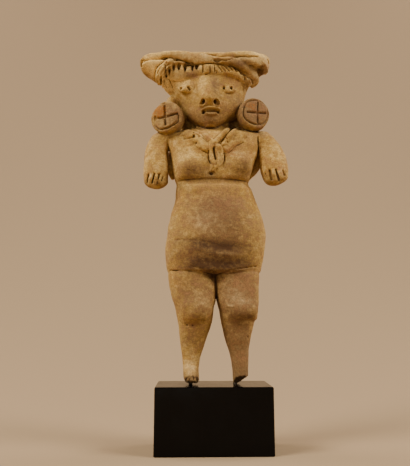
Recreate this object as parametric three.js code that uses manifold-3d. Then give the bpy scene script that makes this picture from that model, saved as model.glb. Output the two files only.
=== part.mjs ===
// A standing female figure in fired clay, carried by two steel pins over a black block.
// Millimetres, +Z up, the front facing -Y. The origin is the centre of the block's underside.

import * as THREE from "three";
import { mergeVertices } from "three/addons/utils/BufferGeometryUtils.js";
import Module from "manifold-3d";

const wasm = await Module();
wasm.setup();

// Driving dimensions of the mount
const STOCK = 25; // the block is cut from square stock
const BLOCK_WIDTH = 45;
const EDGE_BREAK = 0.3;
const PIN_DIAMETER = 1.6;
const PIN_SPREAD = 17.8; // from pin to pin
const PIN_IN_BLOCK = 12;
const PIN_IN_FOOT = 12;
const CLEARANCE = 0.3;
const SOLE_HEIGHT = 0.8; // how far the soles hover over the block

// Driving dimensions of the figure
const FIGURE_HEIGHT = 139; // from sole to turban
const SOLE = STOCK + SOLE_HEIGHT;
const CROWN = SOLE + FIGURE_HEIGHT;
const MIDLINE = 1; // the body's middle stands a little to the block's right
const SPOOL_RADIUS = 6.9;
const SPOOL_DEPTH = 5.6;
const SPOOL_RING = 6.1;
const INCISION = 0.9; // the usual width of an incised line

// Facets
const BODY_SIDES = 20;
const LIMB_SIDES = 12;
const BAND_SIDES = 8;
const ROW_STEP = 6;

// One level of a body: its height, left and right edges, front and back, and its squareness.
const level = (z, left, right, front, back, power = 2.3) => ({ z, left, right, front, back, power });

const TORSO = [
  level(65, -4.0, 5.0, -2.0, 5.0, 2.0),
  level(67.4, -13.0, 14.0, -7.0, 8.0, 2.1),
  level(68.8, -18.0, 19.4, -9.2, 9.6),
  level(72, -18.8, 20.2, -10.4, 10.6),
  level(78, -19.4, 21.3, -11.2, 10.8),
  level(85, -18.7, 22.0, -11.2, 10.0),
  level(93.5, -17.3, 20.2, -10.3, 9.0),
  level(100, -15.5, 18.0, -9.4, 8.3),
  level(105.2, -14.5, 16.2, -8.8, 7.8),
  level(106.4, -14.4, 15.7, -7.6, 7.7),
  level(108, -14.9, 15.2, -7.8, 7.7),
  level(109.6, -15.5, 15.4, -8.8, 7.7),
  level(113, -16.4, 16.6, -9.0, 7.7),
  level(117.5, -17.1, 17.9, -8.8, 7.6),
  level(122.5, -18.4, 19.4, -8.4, 7.4),
  level(125, -19.6, 20.6, -8.0, 7.2),
  level(127.5, -22.0, 23.0, -7.2, 6.6),
  level(129.2, -18.0, 20.0, -5.8, 5.4),
  level(130.8, -11.0, 13.0, -3.8, 4.2),
];

const LEFT_LEG = [
  level(SOLE, -10.6, -6.2, -5.6, 2.2),
  level(26.8, -11.3, -5.6, -6.6, 2.8),
  level(29, -11.4, -5.6, -5.8, 3.0),
  level(33.5, -11.8, -5.4, -3.6, 3.4),
  level(39, -12.4, -4.3, -4.1, 4.2),
  level(44.3, -12.9, -2.6, -5.2, 5.4),
  level(48.2, -13.4, -0.9, -6.6, 6.2),
  level(51, -14.0, 0.1, -8.6, 6.8),
  level(55, -15.1, 1.2, -8.9, 7.6),
  level(61.3, -17.0, 1.4, -8.4, 8.6),
  level(67.4, -18.0, 1.3, -8.2, 9.4),
  level(71, -17.6, 1.2, -6.4, 8.6),
];

const RIGHT_LEG = [
  level(SOLE - 0.4, 8.3, 13.6, -4.0, 2.6),
  level(27.6, 8.3, 14.3, -4.2, 3.0),
  level(30.4, 8.2, 14.2, -3.8, 3.2),
  level(37, 6.9, 14.3, -3.9, 4.0),
  level(42.5, 5.3, 15.1, -5.0, 5.2),
  level(47.5, 4.0, 16.8, -6.2, 6.2),
  level(50.4, 3.5, 18.0, -8.3, 6.8),
  level(54, 2.9, 18.3, -9.0, 7.6),
  level(57.5, 1.0, 18.5, -8.7, 8.2),
  level(62, 0.9, 18.7, -8.4, 8.8),
  level(67.4, 0.9, 19.2, -8.2, 9.4),
  level(71, 1.0, 19.0, -6.4, 8.6),
];

const LEFT_ARM = [
  level(103.9, -24.9, -21.7, -4.6, -1.2),
  level(104.6, -26.9, -20.4, -6.6, 0.4),
  level(107.3, -28.5, -18.9, -7.4, 1.8),
  level(113.4, -28.9, -18.6, -7.2, 3.2),
  level(119.4, -28.7, -19.0, -6.4, 4.4),
  level(124.1, -27.6, -18.4, -5.8, 5.0),
  level(127.6, -26.0, -17.0, -5.0, 4.8),
  level(129.4, -23.6, -18.0, -3.0, 3.2),
];

const RIGHT_ARM = [
  level(105.7, 24.2, 27.2, -4.6, -1.2),
  level(106.5, 22.6, 29.0, -6.6, 0.4),
  level(109.2, 21.2, 31.5, -7.4, 1.8),
  level(114, 20.3, 31.9, -7.2, 3.0),
  level(118.5, 19.8, 31.3, -6.6, 4.2),
  level(122.5, 19.4, 29.8, -6.0, 5.0),
  level(127, 17.6, 27.0, -5.4, 5.0),
  level(129.8, 18.6, 24.0, -3.0, 3.2),
];

const NECK = [level(125, -8.4, 8.6, -6.2, 6.0), level(140, -8.4, 8.6, -6.2, 6.0)];

const HEAD = [
  level(131.0, -2.8, 2.4, -7.0, 1.0),
  level(132.6, -6.0, 5.4, -8.6, 3.0),
  level(135, -9.0, 8.8, -9.4, 5.5),
  level(137.4, -11.4, 12.0, -9.8, 7.4),
  level(140.1, -13.4, 14.4, -10.0, 8.6),
  level(143.3, -15.5, 15.6, -10.0, 9.2),
  level(146.8, -17.8, 16.4, -10.0, 9.8),
  level(150, -19.6, 17.0, -10.0, 10.2),
  level(154, -20.2, 17.4, -10.0, 10.4),
  level(158, -19.0, 17.0, -9.6, 10.2),
];

const NAPE = [
  level(123, -8.0, 10.0, 4.0, 8.6),
  level(129, -13.0, 14.6, 2.6, 9.2),
  level(138, -14.4, 15.4, 2.4, 9.6),
  level(148, -18.0, 17.0, 2.0, 11.4),
  level(156, -18.6, 17.4, 2.0, 12.0),
];

const CAP = [
  level(155.6, -20.0, 17.0, -7.6, 10.0),
  level(158.4, -25.0, 20.6, -9.4, 11.4),
  level(161, -28.6, 24.2, -10.0, 12.0),
  level(162.4, -28.4, 24.0, -9.4, 11.4),
  level(163.8, -24.0, 21.0, -7.2, 9.2),
  level(CROWN, -16.0, 13.0, -3.6, 5.4),
];

const LEFT_FOLD = [
  level(149.2, -23.0, -21.0, -5.0, -1.0),
  level(150.8, -23.6, -20.0, -6.4, 1.6),
  level(152.5, -24.7, -19.0, -7.4, 4.0),
  level(154.8, -26.7, -17.8, -8.6, 6.0),
  level(157.1, -28.8, -16.6, -9.8, 7.0),
  level(159.4, -30.6, -15.6, -10.4, 7.0),
  level(161.2, -31.2, -16.0, -9.4, 6.0),
  level(162.5, -29.8, -18.0, -7.2, 5.0),
];

const RIGHT_LOBE = [
  level(155.0, 17.0, 20.6, -5.0, -1.0),
  level(156.6, 14.0, 22.6, -7.0, 1.4),
  level(158.8, 12.0, 24.4, -8.6, 4.0),
  level(161, 11.0, 25.3, -9.4, 6.4),
  level(162.8, 12.0, 25.2, -8.4, 6.0),
  level(164, 14.0, 23.0, -6.2, 4.6),
];

// Change of one measure from level to level, kept from swinging past the levels themselves.
const grade = (a, b, key) => (b[key] - a[key]) / (b.z - a.z);

function slope(levels, i, key) {
  if (i === 0) return grade(levels[0], levels[1], key);
  if (i === levels.length - 1) return grade(levels[i - 1], levels[i], key);
  const below = grade(levels[i - 1], levels[i], key);
  const above = grade(levels[i], levels[i + 1], key);
  return below * above <= 0 ? 0 : (2 * below * above) / (below + above);
}

function levelAt(levels, z) {
  const i = Math.min(levels.length - 2, Math.max(0, levels.findLastIndex((l) => l.z <= z)));
  const a = levels[i];
  const b = levels[i + 1];
  const h = b.z - a.z;
  const t = Math.min(1, Math.max(0, (z - a.z) / h));
  const result = { z };
  for (const key of ["left", "right", "front", "back", "power"]) {
    const rise = (2 * t - 3) * t * t;
    result[key] =
      (1 + rise) * a[key] -
      rise * b[key] +
      (1 - t) * (1 - t) * t * h * slope(levels, i, key) +
      (t - 1) * t * t * h * slope(levels, i + 1, key);
  }
  return result;
}

// The front surface of a body at a place on it.
function frontOf(levels, x, z) {
  const l = levelAt(levels, z);
  const out = Math.min(1, Math.abs(2 * x - l.left - l.right) / (l.right - l.left));
  const depth = (l.back - l.front) / 2;
  return (l.front + l.back) / 2 - depth * (1 - out ** l.power) ** (1 / l.power);
}

const bulge = (v, power) => Math.sign(v) * Math.abs(v) ** (2 / power);

function ringOf(l, sides) {
  return Array.from({ length: sides }, (_, i) => {
    const turn = (2 * Math.PI * i) / sides;
    return new THREE.Vector3(
      (l.left + l.right) / 2 + ((l.right - l.left) / 2) * bulge(Math.cos(turn), l.power),
      (l.front + l.back) / 2 + ((l.back - l.front) / 2) * bulge(Math.sin(turn), l.power),
      l.z,
    );
  });
}

// A closed skin over rings of as many points each, every end closed by a fan.
function skin(rings) {
  const sides = rings[0].length;
  const last = rings.length - 1;
  const middle = (ring) => ring.reduce((sum, p) => sum.add(p), new THREE.Vector3()).divideScalar(sides);
  const points = [...rings.flat(), middle(rings[0]), middle(rings[last])];
  const start = rings.length * sides;
  const faces = [];
  for (let i = 0; i < sides; i++) {
    const j = (i + 1) % sides;
    for (let r = 0; r < last; r++) {
      const [a, b] = [r * sides + i, r * sides + j];
      faces.push(a, b, b + sides, a, b + sides, a + sides);
    }
    faces.push(start, j, i, start + 1, last * sides + i, last * sides + j);
  }
  const geometry = new THREE.BufferGeometry().setFromPoints(points);
  geometry.setIndex(faces);
  return geometry;
}

// A body through its levels, with more rows where they stand far apart.
function body(levels, sides) {
  const rings = [ringOf(levels[0], sides)];
  levels.slice(1).forEach((upper, i) => {
    const lower = levels[i];
    const rows = Math.ceil((upper.z - lower.z) / ROW_STEP);
    for (let row = 1; row <= rows; row++)
      rings.push(ringOf(levelAt(levels, lower.z + ((upper.z - lower.z) * row) / rows), sides));
  });
  return solid(skin(rings));
}

// A band of clay along a curve. Each stop is [x, y, z, half width, half thickness].
function band(stops, outward, rows, sides = BAND_SIDES) {
  const path = new THREE.CatmullRomCurve3(stops.map(([x, y, z]) => new THREE.Vector3(x, y, z)));
  const sizes = new THREE.CatmullRomCurve3(stops.map((s) => new THREE.Vector3(s[3], s[4], 0)));
  path.curveType = sizes.curveType = "catmullrom";
  const rings = Array.from({ length: rows + 1 }, (_, row) => {
    const centre = path.getPoint(row / rows);
    const along = path.getTangent(row / rows);
    const across = new THREE.Vector3().crossVectors(along, outward(centre)).normalize();
    const out = new THREE.Vector3().crossVectors(across, along);
    const size = sizes.getPoint(row / rows);
    return Array.from({ length: sides }, (_, i) => {
      const turn = (2 * Math.PI * i) / sides;
      return centre
        .clone()
        .addScaledVector(across, size.x * Math.cos(turn))
        .addScaledVector(out, -size.y * Math.sin(turn));
    });
  });
  return solid(skin(rings));
}

const forward = () => new THREE.Vector3(0, -1, 0);
const fromHead = (p) => new THREE.Vector3(p.x - MIDLINE, p.y * 4, 0).normalize();

// A groove laid on a body's front, with a V section. Each stop is [x, z].
function groove(levels, stops, width = INCISION, depth = INCISION, lift = 0) {
  const line = stops.map(([x, z]) => [x, frontOf(levels, x, z) - lift, z, width / 2, depth]);
  return band(line, forward, 2 * (stops.length - 1), 4);
}

// A pellet of clay pressed on a body's front, or the dent that a round tool leaves there.
function pellet(levels, x, z, halfWidth, halfHeight, halfDepth, sunk = 0, segments = 10) {
  const geometry = new THREE.SphereGeometry(1, segments, Math.ceil(segments / 2));
  geometry.scale(halfWidth, halfDepth, halfHeight);
  geometry.translate(x, frontOf(levels, x, z) + sunk, z);
  return solid(geometry);
}

// The closed mesh as a solid, without normals and without the flat triangles at poles.
function solid(geometry) {
  geometry.deleteAttribute("normal");
  geometry.deleteAttribute("uv");
  const merged = mergeVertices(geometry, 1e-4);
  const index = merged.index.array;
  const kept = [];
  for (let i = 0; i < index.length; i += 3) {
    const [a, b, c] = [index[i], index[i + 1], index[i + 2]];
    if (a !== b && b !== c && c !== a) kept.push(a, b, c);
  }
  return new wasm.Manifold(
    new wasm.Mesh({
      numProp: 3,
      vertProperties: Float32Array.from(merged.attributes.position.array),
      triVerts: Uint32Array.from(kept),
    }),
  );
}

const joined = (solids) => solids.reduce((whole, next) => whole.add(next));
const without = (whole, cuts) => cuts.reduce((rest, cut) => rest.subtract(cut), whole);

function meshOf(name, shape, material) {
  const { vertProperties, triVerts } = shape.getMesh();
  const geometry = new THREE.BufferGeometry();
  geometry.setAttribute("position", new THREE.BufferAttribute(vertProperties, 3));
  geometry.setIndex(new THREE.BufferAttribute(triVerts, 1));
  geometry.computeVertexNormals();
  const mesh = new THREE.Mesh(geometry, material);
  mesh.name = name;
  return mesh;
}

// A round bar standing on z, for the pins and for the bores that take them.
function upright(x, z, diameter, length) {
  const geometry = new THREE.CylinderGeometry(diameter / 2, diameter / 2, length, 12);
  geometry.rotateX(Math.PI / 2);
  geometry.translate(x, 0, z + length / 2);
  return solid(geometry);
}

const PIN_X = [-PIN_SPREAD / 2, PIN_SPREAD / 2];
const PIN_FOOT = STOCK - PIN_IN_BLOCK;
const PIN_TOP = SOLE + PIN_IN_FOOT;

const pin = (x) => upright(x, PIN_FOOT, PIN_DIAMETER, PIN_TOP - PIN_FOOT);

function bore(x) {
  const length = PIN_TOP - PIN_FOOT + 2 * CLEARANCE;
  return upright(x, PIN_FOOT - CLEARANCE, PIN_DIAMETER + 2 * CLEARANCE, length);
}

// The block: square stock with its edges just broken, and a blind bore for each pin.
function block() {
  const rings = [
    [0, EDGE_BREAK],
    [EDGE_BREAK, 0],
    [STOCK - EDGE_BREAK, 0],
    [STOCK, EDGE_BREAK],
  ].map(([z, inset]) => {
    const [x, y] = [BLOCK_WIDTH / 2 - inset, STOCK / 2 - inset];
    const corners = [
      [x, y - EDGE_BREAK],
      [x - EDGE_BREAK, y],
      [EDGE_BREAK - x, y],
      [-x, y - EDGE_BREAK],
      [-x, EDGE_BREAK - y],
      [EDGE_BREAK - x, -y],
      [x - EDGE_BREAK, -y],
      [x, EDGE_BREAK - y],
    ];
    return corners.map(([cx, cy]) => new THREE.Vector3(cx, cy, z));
  });
  return without(solid(skin(rings)), PIN_X.map(bore));
}

// An ear spool: a thick disc with an incised ring and cross on its outer face.
function spool(x, y, z, turn, roll) {
  const edge = 1.2;
  const outline = [
    [0, 0],
    [SPOOL_RADIUS, 0],
    [SPOOL_RADIUS, SPOOL_DEPTH - edge],
    [SPOOL_RING + INCISION / 2, SPOOL_DEPTH],
    [SPOOL_RING, SPOOL_DEPTH - INCISION],
    [SPOOL_RING - INCISION / 2, SPOOL_DEPTH],
    [0, SPOOL_DEPTH],
  ].map(([r, h]) => new THREE.Vector2(r, h));
  const disc = new THREE.LatheGeometry(outline, 18);
  const arms = [
    new THREE.BoxGeometry(1.5 * SPOOL_RING, 2 * INCISION, INCISION),
    new THREE.BoxGeometry(INCISION, 2 * INCISION, 1.6 * SPOOL_RING),
  ];
  arms.forEach((arm) => arm.translate(0, SPOOL_DEPTH, 0));
  for (const geometry of [disc, ...arms]) {
    geometry.rotateX(Math.PI);
    geometry.rotateY(roll);
    geometry.rotateZ(turn);
    geometry.translate(x, y, z);
  }
  return without(solid(disc), arms.map(solid));
}

const spools = () => [spool(-17.9, -2.6, 134.2, -0.37, 0.1), spool(15.8, -1.9, 137.0, 0.46, -0.12)];

// The turban: a cap with a folded side, a lobed side and a thick roll behind, and two strands
// that cross over the brow.
function turban() {
  const overBrow = [
    [-30.2, -1.0, 161.6, 1.0, 1.0],
    [-26.9, -5.0, 161.8, 1.8, 1.8],
    [-21.5, -8.8, 160.8, 2.1, 2.2],
    [-16.0, -10.4, 160.0, 2.0, 2.3],
    [-11.0, -11.3, 159.3, 2.1, 2.3],
    [-5.8, -11.8, 158.6, 2.2, 2.4],
    [-0.3, -11.8, 157.5, 2.3, 2.4],
    [4.2, -11.5, 156.7, 2.0, 2.2],
    [8.4, -11.0, 156.2, 1.6, 2.0],
    [12.6, -9.6, 155.3, 1.8, 2.0],
    [15.8, -7.2, 154.4, 2.2, 2.2],
    [17.6, -4.2, 153.0, 2.2, 2.2],
    [18.0, -1.0, 151.8, 1.5, 1.6],
  ];
  const underneath = [
    [2.4, -9.4, 158.4, 1.6, 1.6],
    [6.5, -10.2, 159.4, 2.3, 1.9],
    [12.0, -9.9, 160.4, 2.7, 2.1],
    [18.0, -8.2, 160.6, 2.9, 2.2],
    [22.6, -4.0, 160.4, 2.9, 2.2],
    [24.0, 1.6, 160.0, 2.6, 1.8],
  ];
  const behind = [
    [-26.0, 3.0, 159.6, 3.0, 3.0],
    [-20.0, 8.4, 159.2, 4.0, 3.6],
    [-8.0, 12.0, 158.8, 4.6, 3.8],
    [6.0, 12.0, 159.2, 4.6, 3.8],
    [16.0, 8.4, 160.4, 3.8, 3.4],
    [21.4, 3.0, 161.2, 2.6, 2.6],
  ];
  return joined([
    body(CAP, BODY_SIDES),
    body(LEFT_FOLD, LIMB_SIDES),
    body(RIGHT_LOBE, LIMB_SIDES),
    band(overBrow, fromHead, 18),
    band(underneath, fromHead, 8),
    band(behind, fromHead, 10),
  ]);
}

// The lines pressed down the folded side of the turban.
function foldLines() {
  return [0, 1, 2].map((i) =>
    groove(LEFT_FOLD, [
      [-18.0 - 1.7 * i, 159.2],
      [-20.4 - 1.7 * i, 156.2],
      [-22.6 - 1.2 * i, 152.6],
    ]),
  );
}

// The fringe: a band of hair under the turban, cut into locks by short upright notches.
const FRINGE_EDGE = 151.4;
const FRINGE_LOCKS = [-16.2, -13.8, -11.2, -8.6, -6.0, -3.4, -0.6, 2.2, 5.0, 7.6, 10.2, 12.6];

function fringe() {
  const stops = [-19, -15.5, -9.5, -3.5, 2.5, 8, 13, 16.4].map((x) => {
    const z = FRINGE_EDGE + 2.2;
    return [x, frontOf(HEAD, x, z) + 0.4, z, 2.3, 1.5];
  });
  return band(stops, forward, 12, 6);
}

function fringeNotches() {
  return FRINGE_LOCKS.map((x) => {
    const y = frontOf(HEAD, x, FRINGE_EDGE) - 1.1;
    const stops = [
      [x, y, FRINGE_EDGE + 0.8, 0.25, 0.4],
      [x, y, FRINGE_EDGE + 4.4, 0.7, 1.2],
    ];
    return band(stops, forward, 1, 4);
  });
}

// Locks that hang at the temples, in front of the ears.
function temples() {
  const left = [
    [-18.6, -5.6, 155.0, 1.2, 1.2],
    [-19.6, -4.8, 151.6, 2.0, 1.6],
    [-18.8, -4.6, 148.8, 1.5, 1.3],
    [-17.6, -4.8, 146.6, 0.6, 0.6],
  ];
  const right = [
    [15.8, -6.4, 155.0, 1.2, 1.2],
    [16.8, -5.2, 152.0, 1.7, 1.5],
    [16.4, -5.0, 149.2, 1.2, 1.2],
    [15.6, -5.2, 147.2, 0.5, 0.5],
  ];
  return [left, right].map((stops) => band(stops, forward, 5, 6));
}

const NOSE = [
  level(137.5, -4.6, 1.9, -10.6, -7),
  level(138.3, -5.8, 3.1, -12.4, -7),
  level(140, -5.2, 2.2, -13.2, -7),
  level(142, -4.2, 0.8, -13.0, -7),
  level(146, -3.3, -0.2, -11.6, -7),
  level(151, -2.8, -0.8, -10.1, -7),
];
const MOUTH = { middle: -0.9, z: 136.4, half: 3.2 };

// Eyes and lips are pellets; the pupils, nostrils and the mouth's slot are jabbed into them.
function features() {
  const { middle, z, half } = MOUTH;
  const lip = (rise, width, height) =>
    pellet(HEAD, middle, z + rise, width, height, 1.0, 0.1);
  return [
    body(NOSE, 10),
    pellet(HEAD, -11.0, 144.7, 3.3, 1.9, 1.3, 0.2),
    pellet(HEAD, 6.9, 144.7, 3.0, 1.9, 1.3, 0.2),
    lip(0.9, half + 0.6, 0.8),
    lip(-1.3, half - 0.6, 0.8),
  ];
}

function jabs() {
  const { middle, z, half } = MOUTH;
  const eyes = [
    [-13.2, 144.9],
    [-10.0, 145.6],
    [5.0, 145.2],
    [8.2, 145.3],
  ].map(([x, up]) => pellet(HEAD, x, up, 0.6, 0.8, 1.2, -0.9, 6));
  const nostrils = [-4.2, 1.3].map((x) => pellet(HEAD, x, 138.2, 1.0, 1.1, 2.0, -2.4, 6));
  const corners = [-1, 1].map((side) =>
    pellet(HEAD, middle + side * half * 0.8, z - 0.4, 0.8, 0.8, 1.2, -0.6, 6),
  );
  return [...eyes, ...nostrils, ...corners, pellet(HEAD, middle, z, half, 0.5, 1.4, -0.4, 6)];
}

// The collar: flat straps of clay laid to a V, with a pendant of two rolls and a drop.
function collar() {
  const strap = (stops, halfWidth, halfThickness) =>
    band(
      stops.map(([x, z, part = 1]) => [
        x,
        frontOf(TORSO, x, z),
        z,
        halfWidth * part,
        halfThickness,
      ]),
      forward,
      4,
      6,
    );
  return [
    strap([[-13.4, 125.6, 0.3], [-9.6, 125.2], [-5.4, 122.2], [-1.4, 120.0, 0.7]], 2.5, 1.2),
    strap([[14.2, 125.8, 0.3], [10.4, 124.6], [6.4, 121.6], [2.8, 119.4, 0.7]], 2.5, 1.2),
    strap([[10.8, 129.6, 0.8], [6.6, 126.6], [2.4, 122.6], [0.6, 120.6, 0.8]], 1.2, 1.6),
    strap([[-7.6, 128.4, 0.8], [-3.8, 125.4], [-0.2, 122.4]], 1.0, 1.2),
    strap([[0.3, 121.2, 0.6], [0.2, 118.0], [0.6, 114.6, 0.6]], 1.8, 2.0),
    strap([[3.0, 119.8, 0.6], [3.2, 117.0], [2.2, 114.2, 0.6]], 1.2, 1.4),
    strap([[1.2, 114.6, 1], [0.4, 111.6, 0.9], [-0.5, 108.6, 0.5]], 1.6, 1.3),
  ];
}

// Rounded masses: breasts, belly over the groin, and buttocks.
function masses() {
  const behindBody = (x, z, halfWidth, halfHeight, halfDepth) => {
    const geometry = new THREE.SphereGeometry(1, 10, 6);
    geometry.scale(halfWidth, halfDepth, halfHeight);
    geometry.translate(x, levelAt(TORSO, z).back - halfDepth + 1.8, z);
    return solid(geometry);
  };
  return [
    pellet(TORSO, -8.8, 113.2, 6.2, 5.6, 3.6, 2.2),
    pellet(TORSO, 11.4, 114.0, 6.0, 5.6, 3.6, 2.2),
    behindBody(MIDLINE - 8.2, 76, 10.0, 12.0, 7.6),
    behindBody(MIDLINE + 8.2, 76, 10.0, 12.0, 7.6),
  ];
}

// The hair behind: a flat fall on the nape, parted into two tresses behind the arms.
function hair() {
  const backward = () => new THREE.Vector3(0, 1, 0);
  const tress = (side, low) =>
    band(
      [
        [MIDLINE + side * 9.0, 6.6, 132, 3.6, 2.6],
        [MIDLINE + side * 14.0, 6.8, 126, 3.4, 2.2],
        [MIDLINE + side * 18.4, 6.4, 119, 2.8, 2.0],
        [MIDLINE + side * 18.0, 6.2, low, 1.8, 1.6],
      ],
      backward,
      7,
      6,
    );
  return [body(NAPE, BAND_SIDES), tress(-1, 111.2), tress(1, 113.4)];
}

// Incised lines: fingers, the groin, toes, and the slit of the pendant.
function incisions() {
  const finger = (arm, x, top, bottom, lean) =>
    groove(arm, [[x, top], [x + lean, bottom]], 0.9, 1.0);
  const toe = (x) => groove(LEFT_LEG, [[x, 27.6], [x, 26.2]], 0.6, 0.6);
  return [
    ...[-26.8, -24.4, -22.2].map((x) => finger(LEFT_ARM, x, 108.2, 104.9, 0)),
    ...[23.4, 26.2, 29.0].map((x) => finger(RIGHT_ARM, x, 109.6, 107.0, 0.5)),
    groove(TORSO, [[-17.6, 69.0], [-9, 69.2], [-2.8, 68.1], [0.8, 66.6]], 0.8, 1.0),
    groove(TORSO, [[0.8, 66.6], [9.1, 69.5], [18.2, 70.6]], 0.8, 1.0),
    ...[-9.6, -8.2, -6.9].map(toe),
    groove(TORSO, [[0.2, 119.4], [0.8, 115.4]], 0.8, 1.2, 2.0),
  ];
}

// The right foot is broken off aslant, upward to the front and to the outer side.
function fracture() {
  const geometry = new THREE.BoxGeometry(30, 30, 10);
  geometry.translate(0, 0, -5);
  geometry.rotateX(-0.32);
  geometry.rotateY(-0.34);
  geometry.translate(8.3, 1.8, SOLE - 0.2);
  return solid(geometry);
}

function figurine() {
  const clay = joined([
    body(TORSO, BODY_SIDES),
    body(LEFT_LEG, LIMB_SIDES),
    without(body(RIGHT_LEG, LIMB_SIDES), [fracture()]),
    body(LEFT_ARM, 12),
    body(RIGHT_ARM, 12),
    body(NECK, 10),
    body(HEAD, BODY_SIDES),
    fringe(),
    ...temples(),
    turban(),
    ...spools(),
    ...masses(),
    ...hair(),
    ...collar(),
    ...features(),
  ]);
  return without(clay, [
    ...foldLines(),
    ...fringeNotches(),
    ...jabs(),
    ...incisions(),
    ...PIN_X.map(bore),
  ]);
}

const CLAY = new THREE.MeshStandardMaterial({ color: 0xb08a55, roughness: 0.92, metalness: 0 });
const STEEL = new THREE.MeshStandardMaterial({ color: 0x3a2c22, roughness: 0.55, metalness: 0.8 });
const BLACK = new THREE.MeshStandardMaterial({ color: 0x0b0a09, roughness: 0.12, metalness: 0 });

const figure = new THREE.Group();
figure.add(
  meshOf("figurine", figurine(), CLAY),
  meshOf("pin_left", pin(PIN_X[0]), STEEL),
  meshOf("pin_right", pin(PIN_X[1]), STEEL),
  meshOf("block", block(), BLACK),
);

export default figure;
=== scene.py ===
"""A standing female figure in fired clay, on two steel pins over a black block.

The clay is sculpted as one distance field, in millimetres, and skinned to one mesh in metres.
The row's frame holds: +Z up, the front facing -Y, the origin under the block's middle.
"""

import math

import bpy
import numpy as np
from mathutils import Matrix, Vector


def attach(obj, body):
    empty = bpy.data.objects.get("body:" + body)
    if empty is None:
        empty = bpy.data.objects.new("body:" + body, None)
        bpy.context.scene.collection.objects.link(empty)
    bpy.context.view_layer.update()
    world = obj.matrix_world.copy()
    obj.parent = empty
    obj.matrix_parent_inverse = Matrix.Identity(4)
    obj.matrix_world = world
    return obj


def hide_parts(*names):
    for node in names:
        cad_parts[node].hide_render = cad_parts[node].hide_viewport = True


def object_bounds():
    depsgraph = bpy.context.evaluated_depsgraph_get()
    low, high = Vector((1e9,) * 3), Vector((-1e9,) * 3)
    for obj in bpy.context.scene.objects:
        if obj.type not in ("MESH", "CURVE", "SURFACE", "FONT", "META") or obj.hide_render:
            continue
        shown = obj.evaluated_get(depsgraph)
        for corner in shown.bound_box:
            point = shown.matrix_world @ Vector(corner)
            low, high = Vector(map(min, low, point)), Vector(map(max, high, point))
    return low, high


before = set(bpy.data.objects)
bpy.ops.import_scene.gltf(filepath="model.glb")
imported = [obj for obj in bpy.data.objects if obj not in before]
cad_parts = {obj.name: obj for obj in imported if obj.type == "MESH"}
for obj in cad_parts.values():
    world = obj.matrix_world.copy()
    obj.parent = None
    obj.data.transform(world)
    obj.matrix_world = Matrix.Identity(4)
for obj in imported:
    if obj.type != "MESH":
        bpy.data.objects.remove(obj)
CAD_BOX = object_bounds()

MM = 0.001

# The photograph's frame and the camera fitted to the block's edges in it
PHOTO_HEIGHT = 466
FOCAL_PIXELS = 540.0
SENSOR = 36.0
CAMERA_PLACE = (-9.315, -222.335, 47.005)
CAMERA_PITCH = math.radians(9.96)
CAMERA_YAW = math.radians(1.59)


def put_in_scene(name, data):
    thing = bpy.data.objects.new(name, data)
    bpy.context.collection.objects.link(thing)
    return thing


def place_camera():
    data = bpy.data.cameras.new("camera")
    data.sensor_fit = "VERTICAL"
    data.sensor_height = SENSOR
    data.lens = SENSOR * FOCAL_PIXELS / PHOTO_HEIGHT
    data.clip_start, data.clip_end = 0.01, 10.0
    camera = put_in_scene("camera", data)
    camera.location = [v * MM for v in CAMERA_PLACE]
    camera.rotation_euler = (math.pi / 2 + CAMERA_PITCH, 0.0, -CAMERA_YAW)
    bpy.context.scene.camera = camera


place_camera()

# The distance field: its box, its step, and how far from the clay it is worked out
FIELD_LOW, FIELD_HIGH = (-33.5, -17.5, 23.5), (34.5, 19.0, 167.5)
STEP = 0.36
MARGIN = 2.5
FAR = 1e3
TINY = 1e-6
TRIANGLES = 190000
INSET = 0.05  # keeps the mesh just inside the CAD model's box

# The figure's measures. A level of a body is (z, left, right, front, back, squareness), and its
# squareness is left out where it is the usual one.
SQUARENESS = 2.3
MIDLINE = 1.0
SOLE = 25.8

TORSO = [
    (68.2, -12, 13, -6, 8, 2.1), (68.9, -16.4, 18, -8.8, 9, 2.2), (69.8, -18.3, 19.8, -9.9, 10),
    (72, -18.8, 20.2, -10.4, 10.6), (78, -19.4, 21.3, -11.2, 10.8), (85, -18.7, 22, -11.2, 10),
    (93.5, -17.3, 20.2, -10.3, 9), (100, -15.5, 18, -9.4, 8.3), (103.4, -15.1, 16.8, -9.2, 8, 2.4),
    (104.6, -15, 16.3, -8.8, 7.8, 2.5), (105.6, -14.9, 15.6, -7.9, 7.7, 2.6),
    (107.2, -15.1, 15, -7.6, 7.7, 2.8), (107.8, -15.3, 15.2, -8.3, 7.7, 3.2),
    (109, -15.8, 15.5, -8.8, 7.7, 3.4), (113, -16.6, 16.8, -8.9, 7.7, 3.4),
    (117.5, -17.3, 18, -8.7, 7.6, 3.4), (122.5, -18.5, 19.5, -8.3, 7.4, 3.4),
    (125, -19.6, 20.6, -8, 7.2, 3), (127.5, -22, 23, -7.2, 6.6, 2.4), (129.2, -18, 20, -5.8, 5.4),
    (130.8, -11, 13, -3.8, 4.2),
]
LEFT_LEG = [
    (SOLE, -10.6, -6.2, -5.6, 2.2), (26.8, -11.3, -5.6, -6.6, 2.8), (29, -11.8, -5.6, -5.8, 3),
    (33.5, -12.4, -5.3, -3.6, 3.4), (39, -13.2, -3.6, -4.1, 4.2), (44.3, -13.7, -2, -5.2, 5.4),
    (48.2, -14, -0.8, -6.6, 6.2), (51, -14.4, -0.2, -8.6, 6.8, 2.4),
    (55, -15.1, 0.3, -8.9, 7.6, 2.7), (58, -16, 1.1, -8.7, 8.2, 3.2),
    (62, -17.1, 1.3, -8.4, 8.6, 3.2), (67.8, -18, 0.9, -8.3, 9.4, 2.8), (71.4, -17.6, 0.8, -7, 8.6),
]
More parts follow.
